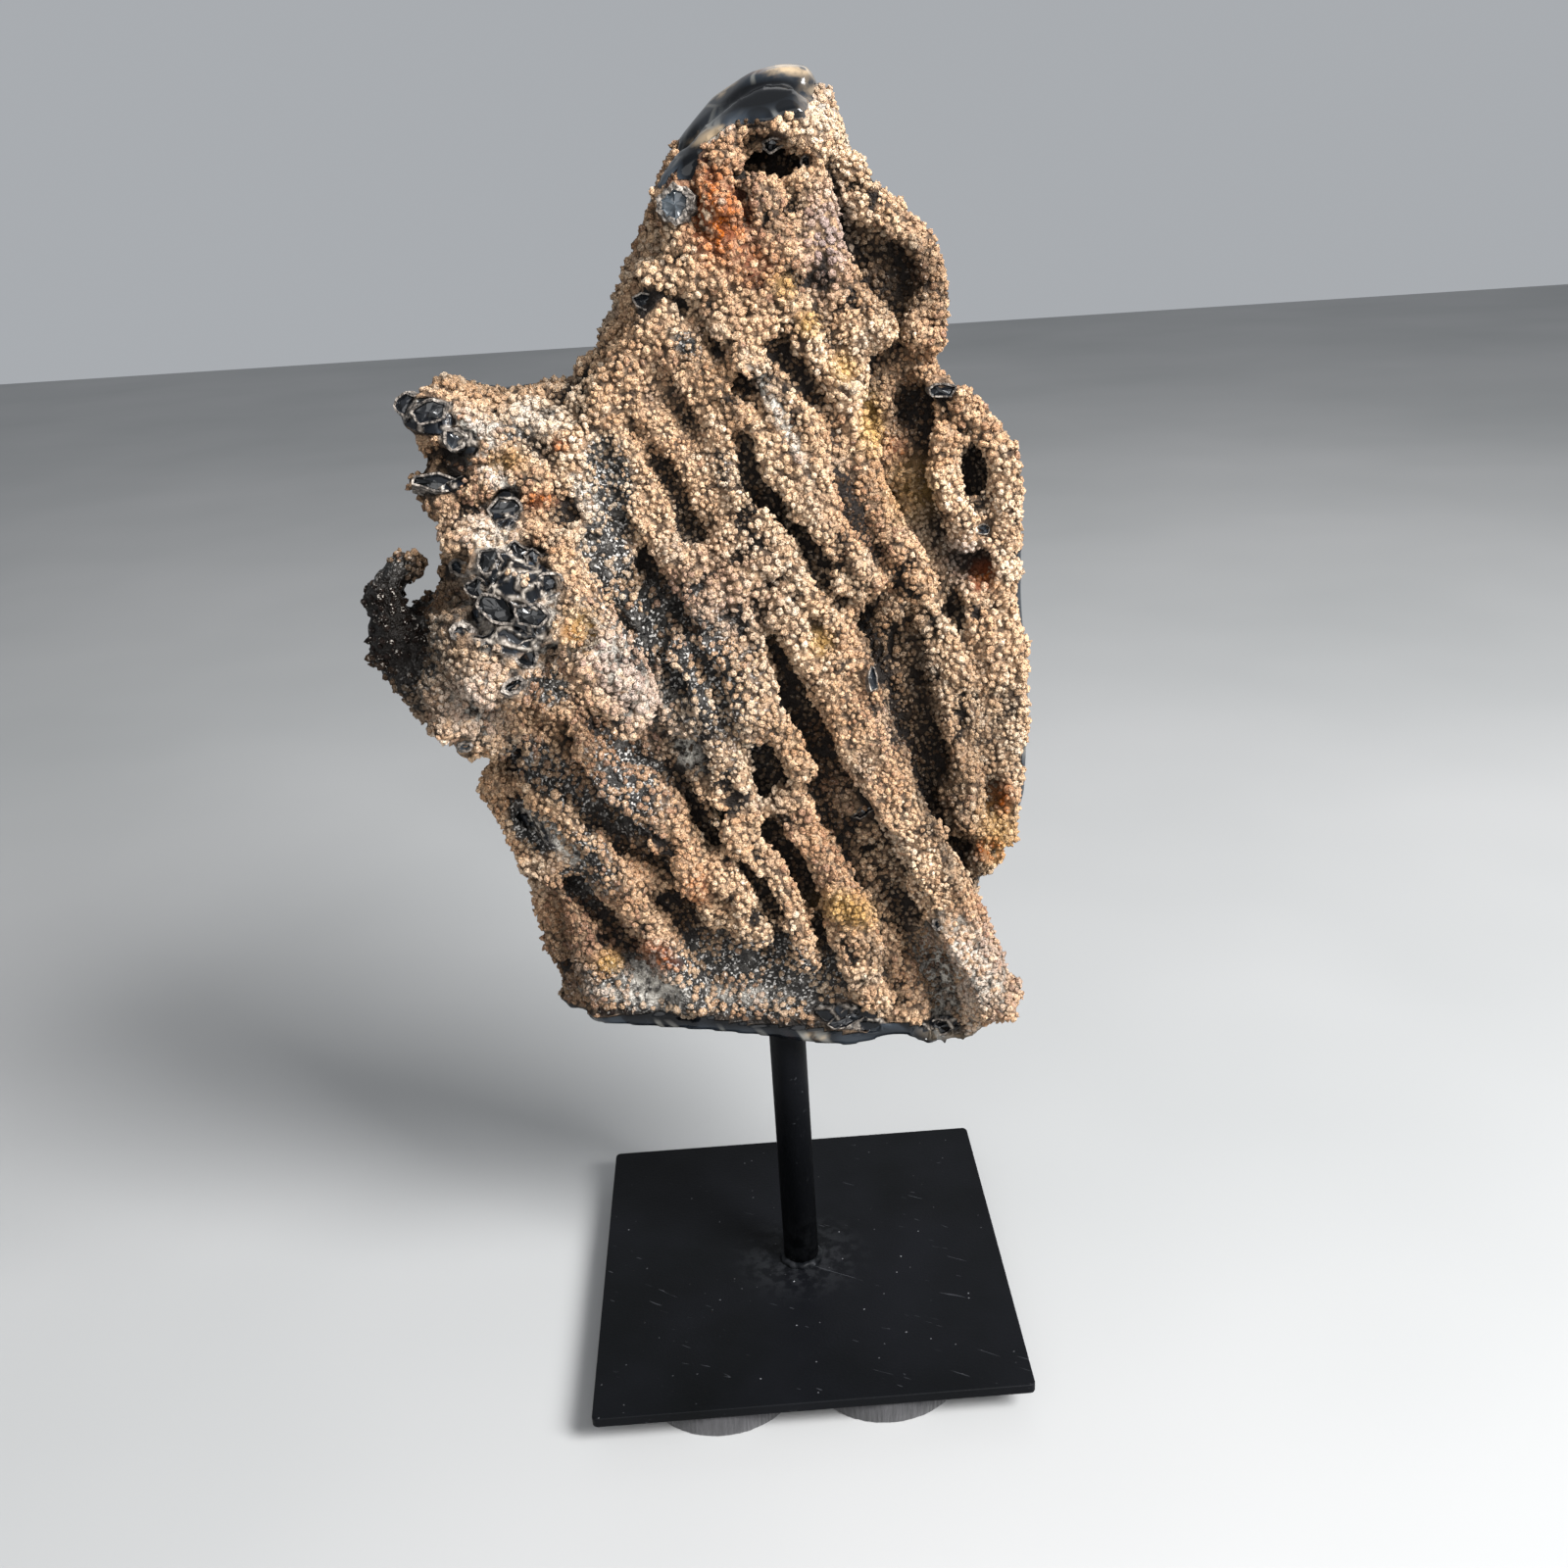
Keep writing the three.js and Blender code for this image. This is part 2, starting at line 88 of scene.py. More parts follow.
class Value:
    """A quantity that varies over a surface, usable in Python expressions."""

    def __init__(self, board: "Board", socket: bpy.types.NodeSocket) -> None:
        """Wraps one output socket of a board's node."""
        self.board = board
        self.socket = socket

    def _maths(self, operation: str, first: "Value | float", second: "Value | float") -> "Value":
        """One Math node on two operands."""
        return self.board.node("ShaderNodeMath", {"operation": operation}, {0: first, 1: second})

    def __add__(self, other: "Value | float") -> "Value":
        """self + other."""
        return self._maths("ADD", self, other)

    def __radd__(self, other: float) -> "Value":
        """other + self."""
        return self._maths("ADD", other, self)

    def __sub__(self, other: "Value | float") -> "Value":
        """self - other."""
        return self._maths("SUBTRACT", self, other)

    def __rsub__(self, other: float) -> "Value":
        """other - self."""
        return self._maths("SUBTRACT", other, self)

    def __mul__(self, other: "Value | float") -> "Value":
        """self * other."""
        return self._maths("MULTIPLY", self, other)

    def __rmul__(self, other: float) -> "Value":
        """other * self."""
        return self._maths("MULTIPLY", other, self)

    def most(self, other: "Value | float") -> "Value":
        """The larger of the two."""
        return self._maths("MAXIMUM", self, other)

    def between(self, low: float, high: float) -> "Value":
        """A smooth step from zero at low to one at high."""
        settings = {"interpolation_type": "SMOOTHSTEP"}
        return self.board.node("ShaderNodeMapRange", settings, {0: self, 1: low, 2: high})


class Board:
    """The node tree of one material."""

    def __init__(self, name: str) -> None:
        """Starts a material with an empty tree."""
        self.material = bpy.data.materials.new(name)
        self.material.use_nodes = True
        self.material.node_tree.nodes.clear()

    def node(
        self, kind: str, settings: dict | None = None, inputs: dict | None = None, output: int | str = 0
    ) -> Value:
        """Adds one node.

        Args:
            kind: the node's type.
            settings: its own settings, set before its sockets. The key stops fills a colour ramp.
            inputs: values or links by socket name or number.
            output: the socket to hand back.

        Returns:
            The chosen output.
        """
        tree = self.material.node_tree
        made = tree.nodes.new(kind)
        for key, setting in (settings or {}).items():
            if key == "stops":
                self._fill_ramp(made.color_ramp, setting)
            else:
                setattr(made, key, setting)
        for key, given in (inputs or {}).items():
            if isinstance(given, Value):
                tree.links.new(given.socket, made.inputs[key])
            else:
                made.inputs[key].default_value = given
        return Value(self, made.outputs[output])

    @staticmethod
    def _fill_ramp(ramp: bpy.types.ColorRamp, stops: list[tuple[float, str]]) -> None:
        """Gives a ramp its stops.

        Args:
            ramp: a new ramp, with two stops of its own.
            stops: each stop's place and colour.
        """
        while len(ramp.elements) < len(stops):
            ramp.elements.new(0.5)
        for element, (place, code) in zip(ramp.elements, stops):
            element.position = place
            element.color = shade(code)

    def here(self, turn: Triple = (0, 0, 0), stretch: Triple = (1, 1, 1)) -> Value:
        """The place on the piece, turned and then stretched for a pattern that runs one way.

        Args:
            turn: the turn about each axis, in radians.
            stretch: how many times as fast the pattern runs along each axis.

        Returns:
            The place.
        """
        place = self.node("ShaderNodeTexCoord", output="Object")
        turned = self.node("ShaderNodeMapping", None, {"Vector": place, "Rotation": turn})
        return self.node("ShaderNodeMapping", None, {"Vector": turned, "Scale": stretch})

    def noise(self, size: float, place: Value, detail: float = 3, distortion: float = 0) -> Value:
        """Cloudy noise from zero to one.

        Args:
            size: the width of one cloud, in metres.
            place: where on the piece.
            detail: how many finer layers it has.
            distortion: how far it is dragged about.

        Returns:
            The noise's strength.
        """
        inputs = {"Vector": place, "Scale": 1 / size, "Detail": detail, "Distortion": distortion}
        return self.node("ShaderNodeTexNoise", None, inputs)

    def cells(self, size: float, place: Value, feature: str = "F1", output: str = "Distance") -> Value:
        """A cell pattern, its distances in cells.

        Args:
            size: the width of one cell, in metres.
            place: where on the piece.
            feature: F1, SMOOTH_F1 or DISTANCE_TO_EDGE.
            output: the socket to read.

        Returns:
            That output.
        """
        inputs = {"Vector": place, "Scale": 1 / size}
        return self.node("ShaderNodeTexVoronoi", {"feature": feature}, inputs, output)

    def lots(self, size: float, place: Value) -> Value:
        """A number from zero to one drawn for each cell of a pattern.

        Args:
            size: the width of one cell, in metres.
            place: where on the piece.

        Returns:
            The number, the same all over its cell.
        """
        drawn = self.cells(size, place, output="Color")
        return self.node("ShaderNodeSeparateColor", None, {0: drawn})

    def bent(self, place: Value, size: float, reach: float) -> Value:
        """The same place, dragged about so that a pattern on it has no straight lines.

        Args:
            place: where on the piece.
            size: the width of one bend, in metres.
            reach: how far it is dragged, in metres.

        Returns:
            The dragged place.
        """
        swell = {"Vector": place, "Scale": 1 / size, "Detail": 2}
        drag = self.node("ShaderNodeTexNoise", None, swell, "Color")
        inputs = {0: drag, 1: (2 * reach, 2 * reach, 2 * reach), 2: place}
        return self.node("ShaderNodeVectorMath", {"operation": "MULTIPLY_ADD"}, inputs)

    def attribute(self, name: str) -> Value:
        """A number stored on the mesh's points."""
        return self.node("ShaderNodeAttribute", {"attribute_name": name}, output="Fac")

    def ramp(self, value: Value, stops: list[tuple[float, str]]) -> Value:
        """A colour chosen by a number."""
        return self.node("ShaderNodeValToRGB", {"stops": stops}, {"Fac": value})

    def blend(self, share: Value | float, first: Value | str, second: Value | str) -> Value:
        """Mixes two colours.

        Args:
            share: zero gives the first and one the second.
            first: a colour's code, or a colour that varies.
            second: the other one.

        Returns:
            The mixture.
        """
        pair = [shade(c) if isinstance(c, str) else c for c in (first, second)]
        return self.node("ShaderNodeMix", {"data_type": "RGBA"}, {0: share, 6: pair[0], 7: pair[1]}, 2)

    def finish(
        self, heights: list[tuple[Value, float]], **sockets: Value | float | Colour
    ) -> bpy.types.Material:
        """Ends the tree in one shader.

        Args:
            heights: patterns that raise the surface, each with its depth in metres.
            sockets: the shader's sockets, with underscores for the spaces in their names.

        Returns:
            The finished material.
        """
        inputs = {key.replace("_", " "): value for key, value in sockets.items()}
        for height, depth in heights:
            bump = {"Height": height, "Distance": depth, "Strength": 1.0}
            if "Normal" in inputs:
                bump["Normal"] = inputs["Normal"]
            inputs["Normal"] = self.node("ShaderNodeBump", None, bump)
        shader = self.node("ShaderNodeBsdfPrincipled", None, inputs)
        end = self.material.node_tree.nodes.new("ShaderNodeOutputMaterial")
        self.material.node_tree.links.new(shader.socket, end.inputs["Surface"])
        return self.material


class StainOrPaintedLight(Enum):
    """What colours a patch of the crust, paints shade or light on it, or changes how it grew."""

    RUST = "rust"
    OCHRE = "ochre"
    LILAC = "lilac"
    PALE_AND_PAINTED_LIGHT = "pale"
    DRUZY = "druzy"
    DARK = "dark"
    CELLS = "cells"
    FINE = "fine"


@dataclass(frozen=True)
class Patch:
    """An oval patch of the face that a stain, painted shade or painted light covers, in pixels of the frame.
    """

    across: float
    down: float
    width: float
    height: float
    lean: float = 0.0
    strength: float = 1.0

    def share(self, pixels: np.ndarray) -> np.ndarray:
        """How far each place lies inside the patch.

        Args:
            pixels: places in the frame, one row each.

        Returns:
            From zero outside to the patch's strength in its middle.
        """
        turn = math.radians(self.lean)
        x = pixels[:, 0] - self.across
        y = pixels[:, 1] - self.down
        along = x * math.cos(turn) + y * math.sin(turn)
        aside = y * math.cos(turn) - x * math.sin(turn)
        reach = np.hypot(along / self.width, aside / self.height)
        return self.strength * np.clip(1.35 - reach, 0, 1)


# Where the crust is stained, bare or broken, or painted with shade or light: across, down, half width and
# half height in pixels of the frame, then the lean in degrees and the strength where they aren't 0 and 1
PATCHES = {
    StainOrPaintedLight.RUST: [
        (728, 222, 34, 58, -20), (770, 268, 22, 26, 0, 0.6), (572, 452, 9, 9), (552, 510, 16, 9),
        (915, 455, 12, 16, 0, 0.7), (1003, 590, 15, 15), (583, 645, 9, 14, -40), (1024, 815, 12, 16),
        (1008, 866, 16, 12), (672, 975, 24, 12, 30, 0.7), (712, 905, 16, 22, 0, 0.5),
    ],
    StainOrPaintedLight.OCHRE: [
        (825, 330, 12, 14), (800, 292, 14, 14, 0, 0.7), (862, 374, 14, 16), (890, 432, 14, 32),
        (930, 500, 28, 34, 0, 0.6), (838, 655, 12, 14), (864, 928, 30, 18, 20), (622, 982, 14, 12),
        (590, 640, 22, 22), (545, 600, 10, 10, 0, 0.5), (1018, 850, 22, 40, 0, 0.7),
        (515, 470, 20, 14, 0, 0.6),
    ],
    StainOrPaintedLight.LILAC: [
        (843, 245, 26, 58), (985, 570, 26, 26, 0, 0.8), (668, 980, 26, 20, 0, 0.7),
        (740, 600, 70, 60, 0, 0.35), (636, 690, 34, 70, -34, 0.7), (470, 720, 36, 40, -20, 0.5),
    ],
    # Pale, chalky stone; the oval at 985, 992 is painted light on the lit end of the branch at the lower
    # right
    StainOrPaintedLight.PALE_AND_PAINTED_LIGHT: [
        (795, 426, 7, 66, -28), (566, 862, 7, 32, -42), (700, 768, 9, 22, -30), (480, 440, 34, 22, 30),
        (505, 485, 20, 12, 30), (597, 506, 10, 24, -30), (545, 425, 30, 16, 20, 0.6),
        (500, 545, 30, 18, 0, 0.9), (525, 625, 60, 46, 40, 0.6), (490, 715, 34, 40, 0, 0.55),
        (650, 710, 34, 26, 40, 0.5), (612, 660, 24, 60, -34, 0.5), (985, 992, 44, 54, -20, 0.75),
        (668, 1004, 40, 14, 24, 0.8), (760, 1016, 34, 10, 6, 0.5), (985, 1052, 40, 10, 0, 0.5),
        (726, 137, 20, 6, -25, 1.2), (800, 70, 36, 6, 6), (738, 92, 22, 4, -40, 0.7),
        (640, 1016, 50, 8, 8, 0.8), (832, 1058, 16, 2, 10, 0.6), (838, 100, 20, 36, 0, 0.4),
    ],
    StainOrPaintedLight.DRUZY: [
        (622, 490, 22, 50, -12, 1.1), (622, 570, 26, 50, -20, 1.1), (650, 640, 24, 56, -28, 1.0),
        (674, 630, 14, 40, -20), (715, 690, 66, 110, -24, 0.62), (560, 790, 60, 22, 36),
        (545, 848, 34, 18, 42), (640, 800, 44, 60, -30, 0.7), (600, 880, 30, 50, -30, 0.6),
        (765, 1002, 100, 46, 6, 1.0), (665, 1012, 76, 30, 10, 0.9), (700, 350, 22, 16, 50, 0.6),
        (735, 480, 14, 30, -20, 0.5), (520, 440, 40, 20, 20, 0.5), (560, 700, 26, 24, 0, 0.8),
        (398, 625, 40, 90, -20, 1.2),
    ],
    # Painted shade: the dark ovals lie over the gullies, the slits, the shaded hook and the lower edge; the
    # one at the peak's cut deepens the black of the polished stone
    StainOrPaintedLight.DARK: [
        (920, 284, 42, 40), (925, 418, 18, 44, 10, 0.8), (450, 620, 50, 70, -20, 0.8),
        (400, 640, 60, 95, -20, 1.3), (776, 96, 60, 18, -12, 1.3), (704, 160, 12, 30, 0, 1.3),
        (578, 985, 26, 70, -10, 0.6), (425, 500, 20, 60, -20, 0.6), (792, 145, 22, 12, 10),
        (868, 590, 8, 50, -24, 0.6), (890, 660, 10, 50, -18, 1.0), (914, 735, 10, 55, -16, 0.9),
        (940, 810, 10, 55, -18, 0.9), (966, 878, 8, 45, -20, 0.8), (940, 690, 24, 70, -12, 0.75),
        (968, 800, 24, 60, -14, 0.8), (992, 876, 16, 44, -20, 0.6), (1000, 760, 44, 90, -6, 0.46),
        (836, 770, 6, 60, -26, 0.6), (800, 690, 6, 50, -26, 0.6), (872, 880, 8, 55, -30, 0.7),
        (900, 985, 8, 45, -28, 0.7), (790, 1046, 130, 7, 4, 1.2), (640, 1034, 90, 6, 6, 1.2),
    ],
    StainOrPaintedLight.FINE: [
        (680, 480, 90, 90), (880, 740, 40, 120, -24), (960, 930, 40, 120, -24), (1000, 520, 40, 60, 0, 0.7),
    ],
    StainOrPaintedLight.CELLS: [
        (525, 588, 46, 26, 15), (520, 635, 44, 36, 30), (432, 424, 34, 20, 15), (450, 492, 28, 12, -12),
        (470, 452, 22, 18, 20, 0.8), (516, 520, 16, 22, 0, 0.9), (545, 845, 34, 9, 42, 0.6),
        (868, 1040, 40, 12, 10), (955, 1050, 26, 10, -10),
    ],
}

# The clean cut at the peak, as corners in pixels of the frame
PEAK_CUT = [(698, 130), (735, 78), (760, 55), (800, 45), (845, 50), (838, 74), (822, 120), (812, 122),
            (801, 104), (760, 120), (740, 131), (716, 150), (708, 186), (690, 184), (690, 150)]

# The lower edge of the face, where the foot was cut: how far across and how high, in millimetres
FOOT_LINE = [(-60, 95), (-54, 93), (-39, 90.6), (-20, 87.4), (-5, 84.4), (6, 81.5), (16, 79.8), (22, 80.2),
             (28, 82.2), (33, 81.8), (38, 78.6), (44, 77.2), (51, 79.4), (58, 82), (64, 86), (72, 92)]


@dataclass
class Viewpoint:
    """Where the object is looked at from, and how its places fall in a frame of 1600 by 1600 pixels."""

    origin: Vector
    eye: Triple = (-5.295, -377.149, 306.008)
    right: Triple = (0.99730138, -0.04606503, -0.05716613)
    up: Triple = (0.07017183, 0.36918199, 0.92670414)
    focal: float = 1550.0
    frame: float = 1600.0

    def axes(self) -> np.ndarray:
        """Right, up and back as the rows of a matrix."""
        right = np.array(self.right)
        up = np.array(self.up)
        return np.array([right, up, np.cross(right, up)])

    def seat(self) -> Vector:
        """The eye in the stand's own frame, in metres."""
        return self.origin + Vector(self.eye) * MM

    def pixels(self, points: np.ndarray) -> np.ndarray:
        """Where points fall in the frame.

        Args:
            points: places in metres, one row each.

        Returns:
            How far across and down each one is, in pixels.
        """
        seen = (points - np.array(self.seat())) @ self.axes().T
        depth = -seen[:, 2:3]
        flat = seen[:, :2] / depth * self.focal
        return flat * np.array([1, -1]) + self.frame / 2

    def ray(self, across: float, down: float) -> Vector:
        """The direction of sight through a pixel.

        Args:
            across: the pixel's distance from the frame's left edge.
            down: its distance from the top edge.

        Returns:
            A direction one long.
        """
        half = self.frame / 2
        local = np.array([(across - half) / self.focal, (half - down) / self.focal, -1.0])
        return Vector(local @ self.axes()).normalized()

    def place_camera(self) -> None:
        """Makes the scene's camera."""
        data = bpy.data.cameras.new("camera")
        data.sensor_width = 36
        data.lens = self.focal / self.frame * data.sensor_width
        camera = bpy.data.objects.new("camera", data)
        turn = Matrix(self.axes().tolist()).transposed().to_4x4()
        camera.matrix_world = Matrix.Translation(self.seat()) @ turn
        bpy.context.scene.collection.objects.link(camera)
        bpy.context.scene.camera = camera


def piece(name: str, mesh: bpy.types.Mesh, slot: str, *materials: bpy.types.Material) -> bpy.types.Object:
    """Puts a finished mesh in the scene as a piece of the object.

    Args:
        name: the piece's name.
        mesh: its mesh, already in place.
        slot: not used.
        materials: its materials, in the order of its faces' numbers.

    Returns:
        The new object.
    """
    mesh.name = name
    for material in materials:
        mesh.materials.append(material)
    made = bpy.data.objects.new(name, mesh)
    bpy.context.scene.collection.objects.link(made)
    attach(made, "root")
    log.info("%s: %d faces", name, len(mesh.polygons))
    return made


def points_of(mesh: bpy.types.Mesh) -> np.ndarray:
    """Reads a mesh's points.

    Args:
        mesh: any mesh.

    Returns:
        Places in metres, one row each.
    """
    flat = np.empty(len(mesh.vertices) * 3, np.float32)
    mesh.vertices.foreach_get("co", flat)
    return flat.reshape(-1, 3).astype(float)


def normals_of(mesh: bpy.types.Mesh) -> np.ndarray:
    """Reads the directions in which a mesh's points face.

    Args:
        mesh: any mesh.

    Returns:
        Directions one long, one row each.
    """
    flat = np.empty(len(mesh.vertices) * 3, np.float32)
    mesh.vertex_normals.foreach_get("vector", flat)
    return flat.reshape(-1, 3).astype(float)


def store(mesh: bpy.types.Mesh, name: str, values: np.ndarray) -> None:
    """Keeps one number for each point of a mesh."""
    mesh.attributes.new(name, "FLOAT", "POINT").data.foreach_set("value", values.astype(np.float32))


def mesh_from(made: bmesh.types.BMesh, name: str, smooth: bool = True) -> bpy.types.Mesh:
    """Turns a finished bmesh into a mesh and frees it.

    Args:
        made: the bmesh.
        name: the mesh's name.
        smooth: whether its faces are shaded smooth.

    Returns:
        The mesh, with its faces pointing outwards.
    """
    bmesh.ops.recalc_face_normals(made, faces=made.faces)
    mesh = bpy.data.meshes.new(name)
    made.to_mesh(mesh)
    made.free()
    mesh.polygons.foreach_set("use_smooth", [smooth] * len(mesh.polygons))
    return mesh


def bevel(made: bmesh.types.BMesh, edges: list[bmesh.types.BMEdge], width: float, steps: int) -> None:
    """Breaks edges.

    Args:
        made: the bmesh that they are in.
        edges: which ones.
        width: how much is taken off, in metres.
        steps: how many faces take an edge's place.
    """
    bmesh.ops.bevel(
        made, geom=edges, offset=width, segments=steps, profile=0.5, affect="EDGES", material=-1
    )


def spin(made: bmesh.types.BMesh, centre: Vector, steps: int) -> None:
    """Spins an outline once round the upright axis.

    Args:
        made: a bmesh that holds the outline alone.
        centre: a point of the axis.
        steps: how many times it is set down on the way round.
    """
    outline = made.verts[:] + made.edges[:]
    bmesh.ops.spin(
        made, geom=outline, cent=centre, axis=(0, 0, 1), angle=math.tau, steps=steps, use_merge=True
    )


def fans(made: bmesh.types.BMesh) -> np.ndarray:
    """Cuts flat faces into triangles, always along the same lines and in the same order.

    Args:
        made: a bmesh with its points numbered.

    Returns:
        The numbers of each triangle's points, one row each.
    """
    found = []
    for face in made.faces:
        ring = [vert.index for vert in face.verts]
        start = ring.index(min(ring))
        first, *others = ring[start:] + ring[:start]
        found += [(first, low, high) for low, high in zip(others, others[1:])]
    return np.array(sorted(found))


def inside(pixels: np.ndarray, corners: list[tuple[float, float]]) -> np.ndarray:
    """Tells which places in the frame lie inside a polygon.

    Args:
        pixels: the places, one row each.
        corners: the polygon's corners in order.

    Returns:
        True for each place inside.
    """
    x, y = pixels.T
    found = np.zeros(len(pixels), bool)
    for (ax, ay), (bx, by) in zip(corners, corners[1:] + corners[:1]):
        crosses = (ay > y) != (by > y)
        found ^= crosses & (x < ax + (y - ay) * (bx - ax) / ((by - ay) or 1e-9))
    return found


def softened(values: np.ndarray, edges: np.ndarray, rounds: int) -> np.ndarray:
    """Values on a mesh's points, averaged with their neighbours again and again.

    Args:
        values: one row for each point.
        edges: pairs of neighbouring points.
        rounds: how often.

    Returns:
        The even values.
    """
    ends = np.concatenate([edges[:, 0], edges[:, 1]])
    others = np.concatenate([edges[:, 1], edges[:, 0]])
    number = np.maximum(np.bincount(ends, minlength=len(values)), 1)[:, None]
    for _ in range(rounds):
        total = [np.bincount(ends, values[others, i], len(values)) for i in range(values.shape[1])]
        values = 0.5 * values + 0.5 * np.stack(total, 1) / number
    return values


def ripple(points: np.ndarray, size: float, seed: int) -> np.ndarray:
    """Smooth unevenness over space, for moving points about.

    Args:
        points: places in metres, one row each.
        size: the width of one swell, in metres.
        seed: which unevenness.

    Returns:
        From about minus one to one for each point.
    """
    chance = np.random.default_rng(seed)
    total = np.zeros(len(points))
    for _ in range(7):
        way = chance.normal(size=3)
        way *= 2 * math.pi / (size * chance.uniform(0.7, 1.5) * np.linalg.norm(way))
        total += np.sin(points @ way + chance.uniform(0, 6.3))
    return total / 3.2


class Nearness:
    """Keeps places apart: a grid that knows what has been set down nearby."""

    def __init__(self, reach: float) -> None:
        """Starts an empty grid whose squares are as wide as the longest distance asked for."""
        self.reach = reach
        self.squares: dict[tuple[int, int, int], list[tuple[Triple, float]]] = {}

    def settle(self, point: Triple, room: float) -> bool:
        """Sets a place down if nothing lies within half of both rooms of it.

        Args:
            point: the place.
            room: how much room it takes across.

        Returns:
            Whether it was set down.
        """
        x, y, z = point
        home = (int(x // self.reach), int(y // self.reach), int(z // self.reach))
        for i in (-1, 0, 1):
            for j in (-1, 0, 1):
                for k in (-1, 0, 1):
                    for (px, py, pz), other in self.squares.get((home[0] + i, home[1] + j, home[2] + k), ()):
                        apart = (room + other) / 2
                        if (px - x) ** 2 + (py - y) ** 2 + (pz - z) ** 2 < apart * apart:
                            return False
        self.squares.setdefault(home, []).append((point, room))
        return True


class AgateFinish:
    """The stone itself: sparkling dark quartz with painted glints under the crust, and polished black agate
    where it was cut.
    """

    name = "agatised_coral"
    lean = (0.0, math.radians(-58), 0.0)
    cell_width = 0.0055
    tube_width = 0.0085

    def material(self) -> bpy.types.Material:
        """Builds the finish.

        Returns:
            The material, which reads polish, nook and the stained and shaded patches from the piece; the nook
            and the dark ovals are painted as shade.
        """
        board = Board(self.name)
        place = board.here()
        along = board.here(self.lean, (0.22, 1, 1))
        polish = board.attribute("polish").between(0.35, 0.65)
        lobes = board.cells(0.0026, board.bent(place, 0.003, 0.0006))
        rough_colour = self._rough(board, place, lobes)
        colour = board.blend(polish, rough_colour, self._polished(board, place, along))
        sparkle = board.cells(0.0007, place)
        rough = 0.5 + board.noise(0.004, place) * 0.4 - board.attribute("druzy") * 0.25
        gloss = 0.07 + board.noise(0.02, place) * 0.08
        broken = board.attribute("cells").between(0.25, 0.5)
        glassy = polish.most(broken * 0.8)
        roughness = board.node("ShaderNodeMix", {"data_type": "FLOAT"}, {0: glassy, 2: rough, 3: gloss})
        natural = (1 - polish) * (1 - broken)
        bent = board.bent(place, 0.004, 0.0016)
        sunk = broken * board.cells(self.cell_width, bent, "DISTANCE_TO_EDGE").between(0.03, 0.2)
        heights = [
            (natural * (1 - lobes), 0.0016),
            (natural * (1 - sparkle), 0.0005),
            (natural * board.noise(0.0004, place, 3), 0.0005),
            (1 - sunk, 0.0009),
        ]
        return board.finish(heights, Base_Color=colour, Roughness=roughness, Specular_IOR_Level=0.24)

    def _rough(self, board: Board, place: Value, lobes: Value) -> Value:
        """Sugary tan stone between the nodules, with painted shade in its crevices, or dark quartz grains
        with a few painted as glints.

        Args:
            board: the material's tree.
            place: where on the piece.
            lobes: the pattern of its lobes.

        Returns:
            The natural stone's colour.
        """
        druzy = board.attribute("druzy").between(0.1, 0.6)
        cloud = board.noise(0.003, place)
        grey = board.ramp(cloud, [(0.3, "#171615"), (0.55, "#2E2C2A"), (0.75, "#5A5651")])
        sugar = board.noise(0.0006, place, 3) * 0.6 + cloud * 0.4
        brown = board.ramp(sugar, [(0.3, "#7A5B44"), (0.5, "#A5866A"), (0.68, "#CCAD8B")])
        # Painted shade in the crevices between the lobes of the bump pattern
        brown = board.blend(lobes.between(0.35, 0.75) * 0.85, brown, "#20150E")
        # Painted shade in the crevices and hollows that the nook marks
        brown = board.blend(board.attribute("nook").between(0.1, 0.8), brown, "#17100B")
        # Painted glints: a few light grey grains among the dark quartz
        painted_glint = board.lots(0.00055, place).between(0.76, 0.97)
        colour = board.blend(druzy, brown, board.blend(painted_glint, grey, "#B9B5B0"))
        # Chalky pale stone, and painted light where the pale oval at the lower right lies
        chalky = board.attribute("pale") * board.noise(0.002, place).between(0.35, 0.6)
        colour = board.blend(chalky, colour, "#D9D2C6")
        colour = board.blend(board.attribute("rust") * 0.8, colour, "#7A3A14")
        colour = board.blend(board.attribute("ochre") * 0.7, colour, "#8C6A33")
        # Painted shade from the dark ovals
        colour = board.blend(board.attribute("dark") * 0.8, colour, "#130E0A")
        bent = board.bent(place, 0.004, 0.0016)
        edge = board.cells(self.cell_width, bent, "DISTANCE_TO_EDGE") - board.noise(0.005, place) * 0.12
        core = board.ramp(board.noise(0.006, place), [(0.35, "#060708"), (0.6, "#14171C"), (0.8, "#3A444F")])
        stops = [(0.32, "#352F2A"), (0.5, "#6C645C"), (0.7, "#ACA398")]
        milky = board.ramp(board.noise(0.0015, place, 4), stops)
        bare = 1 - board.noise(0.003, place, 3).between(0.4, 0.56)
        broken = board.blend(edge.between(-0.02, 0.12).most(bare), milky, core)
        return board.blend(board.attribute("cells").between(0.25, 0.5), colour, broken)

    def _polished(self, board: Board, place: Value, along: Value) -> Value:
        """Black agate with the coral's own tubes in it, each with a milky wall.

        Args:
            board: the material's tree.
            place: where on the piece.
            along: the same place, stretched the way the tubes run.

        Returns:
            The polished stone's colour.
        """
        cloud = board.noise(0.022, along, 6, 0.6)
        body = board.ramp(cloud, [(0.3, "#060708"), (0.5, "#0D0F12"), (0.62, "#171B20"), (0.78, "#2F363E")])
        wall = board.cells(self.tube_width, along, "DISTANCE_TO_EDGE")
        fade = board.noise(0.016, place).between(0.42, 0.66)
        milky = (1 - wall.between(0.02, 0.09)) * fade
        body = board.blend(milky * 0.35, body, "#A9A79F")
        rim = board.cells(self.tube_width, along).between(0.28, 0.36) * (1 - fade) * 0.18
        body = board.blend(rim, body, "#56606B")
        amber = board.noise(0.03, along, 3).between(0.62, 0.74) * 0.6
        body = board.blend(amber, body, "#5A3216")
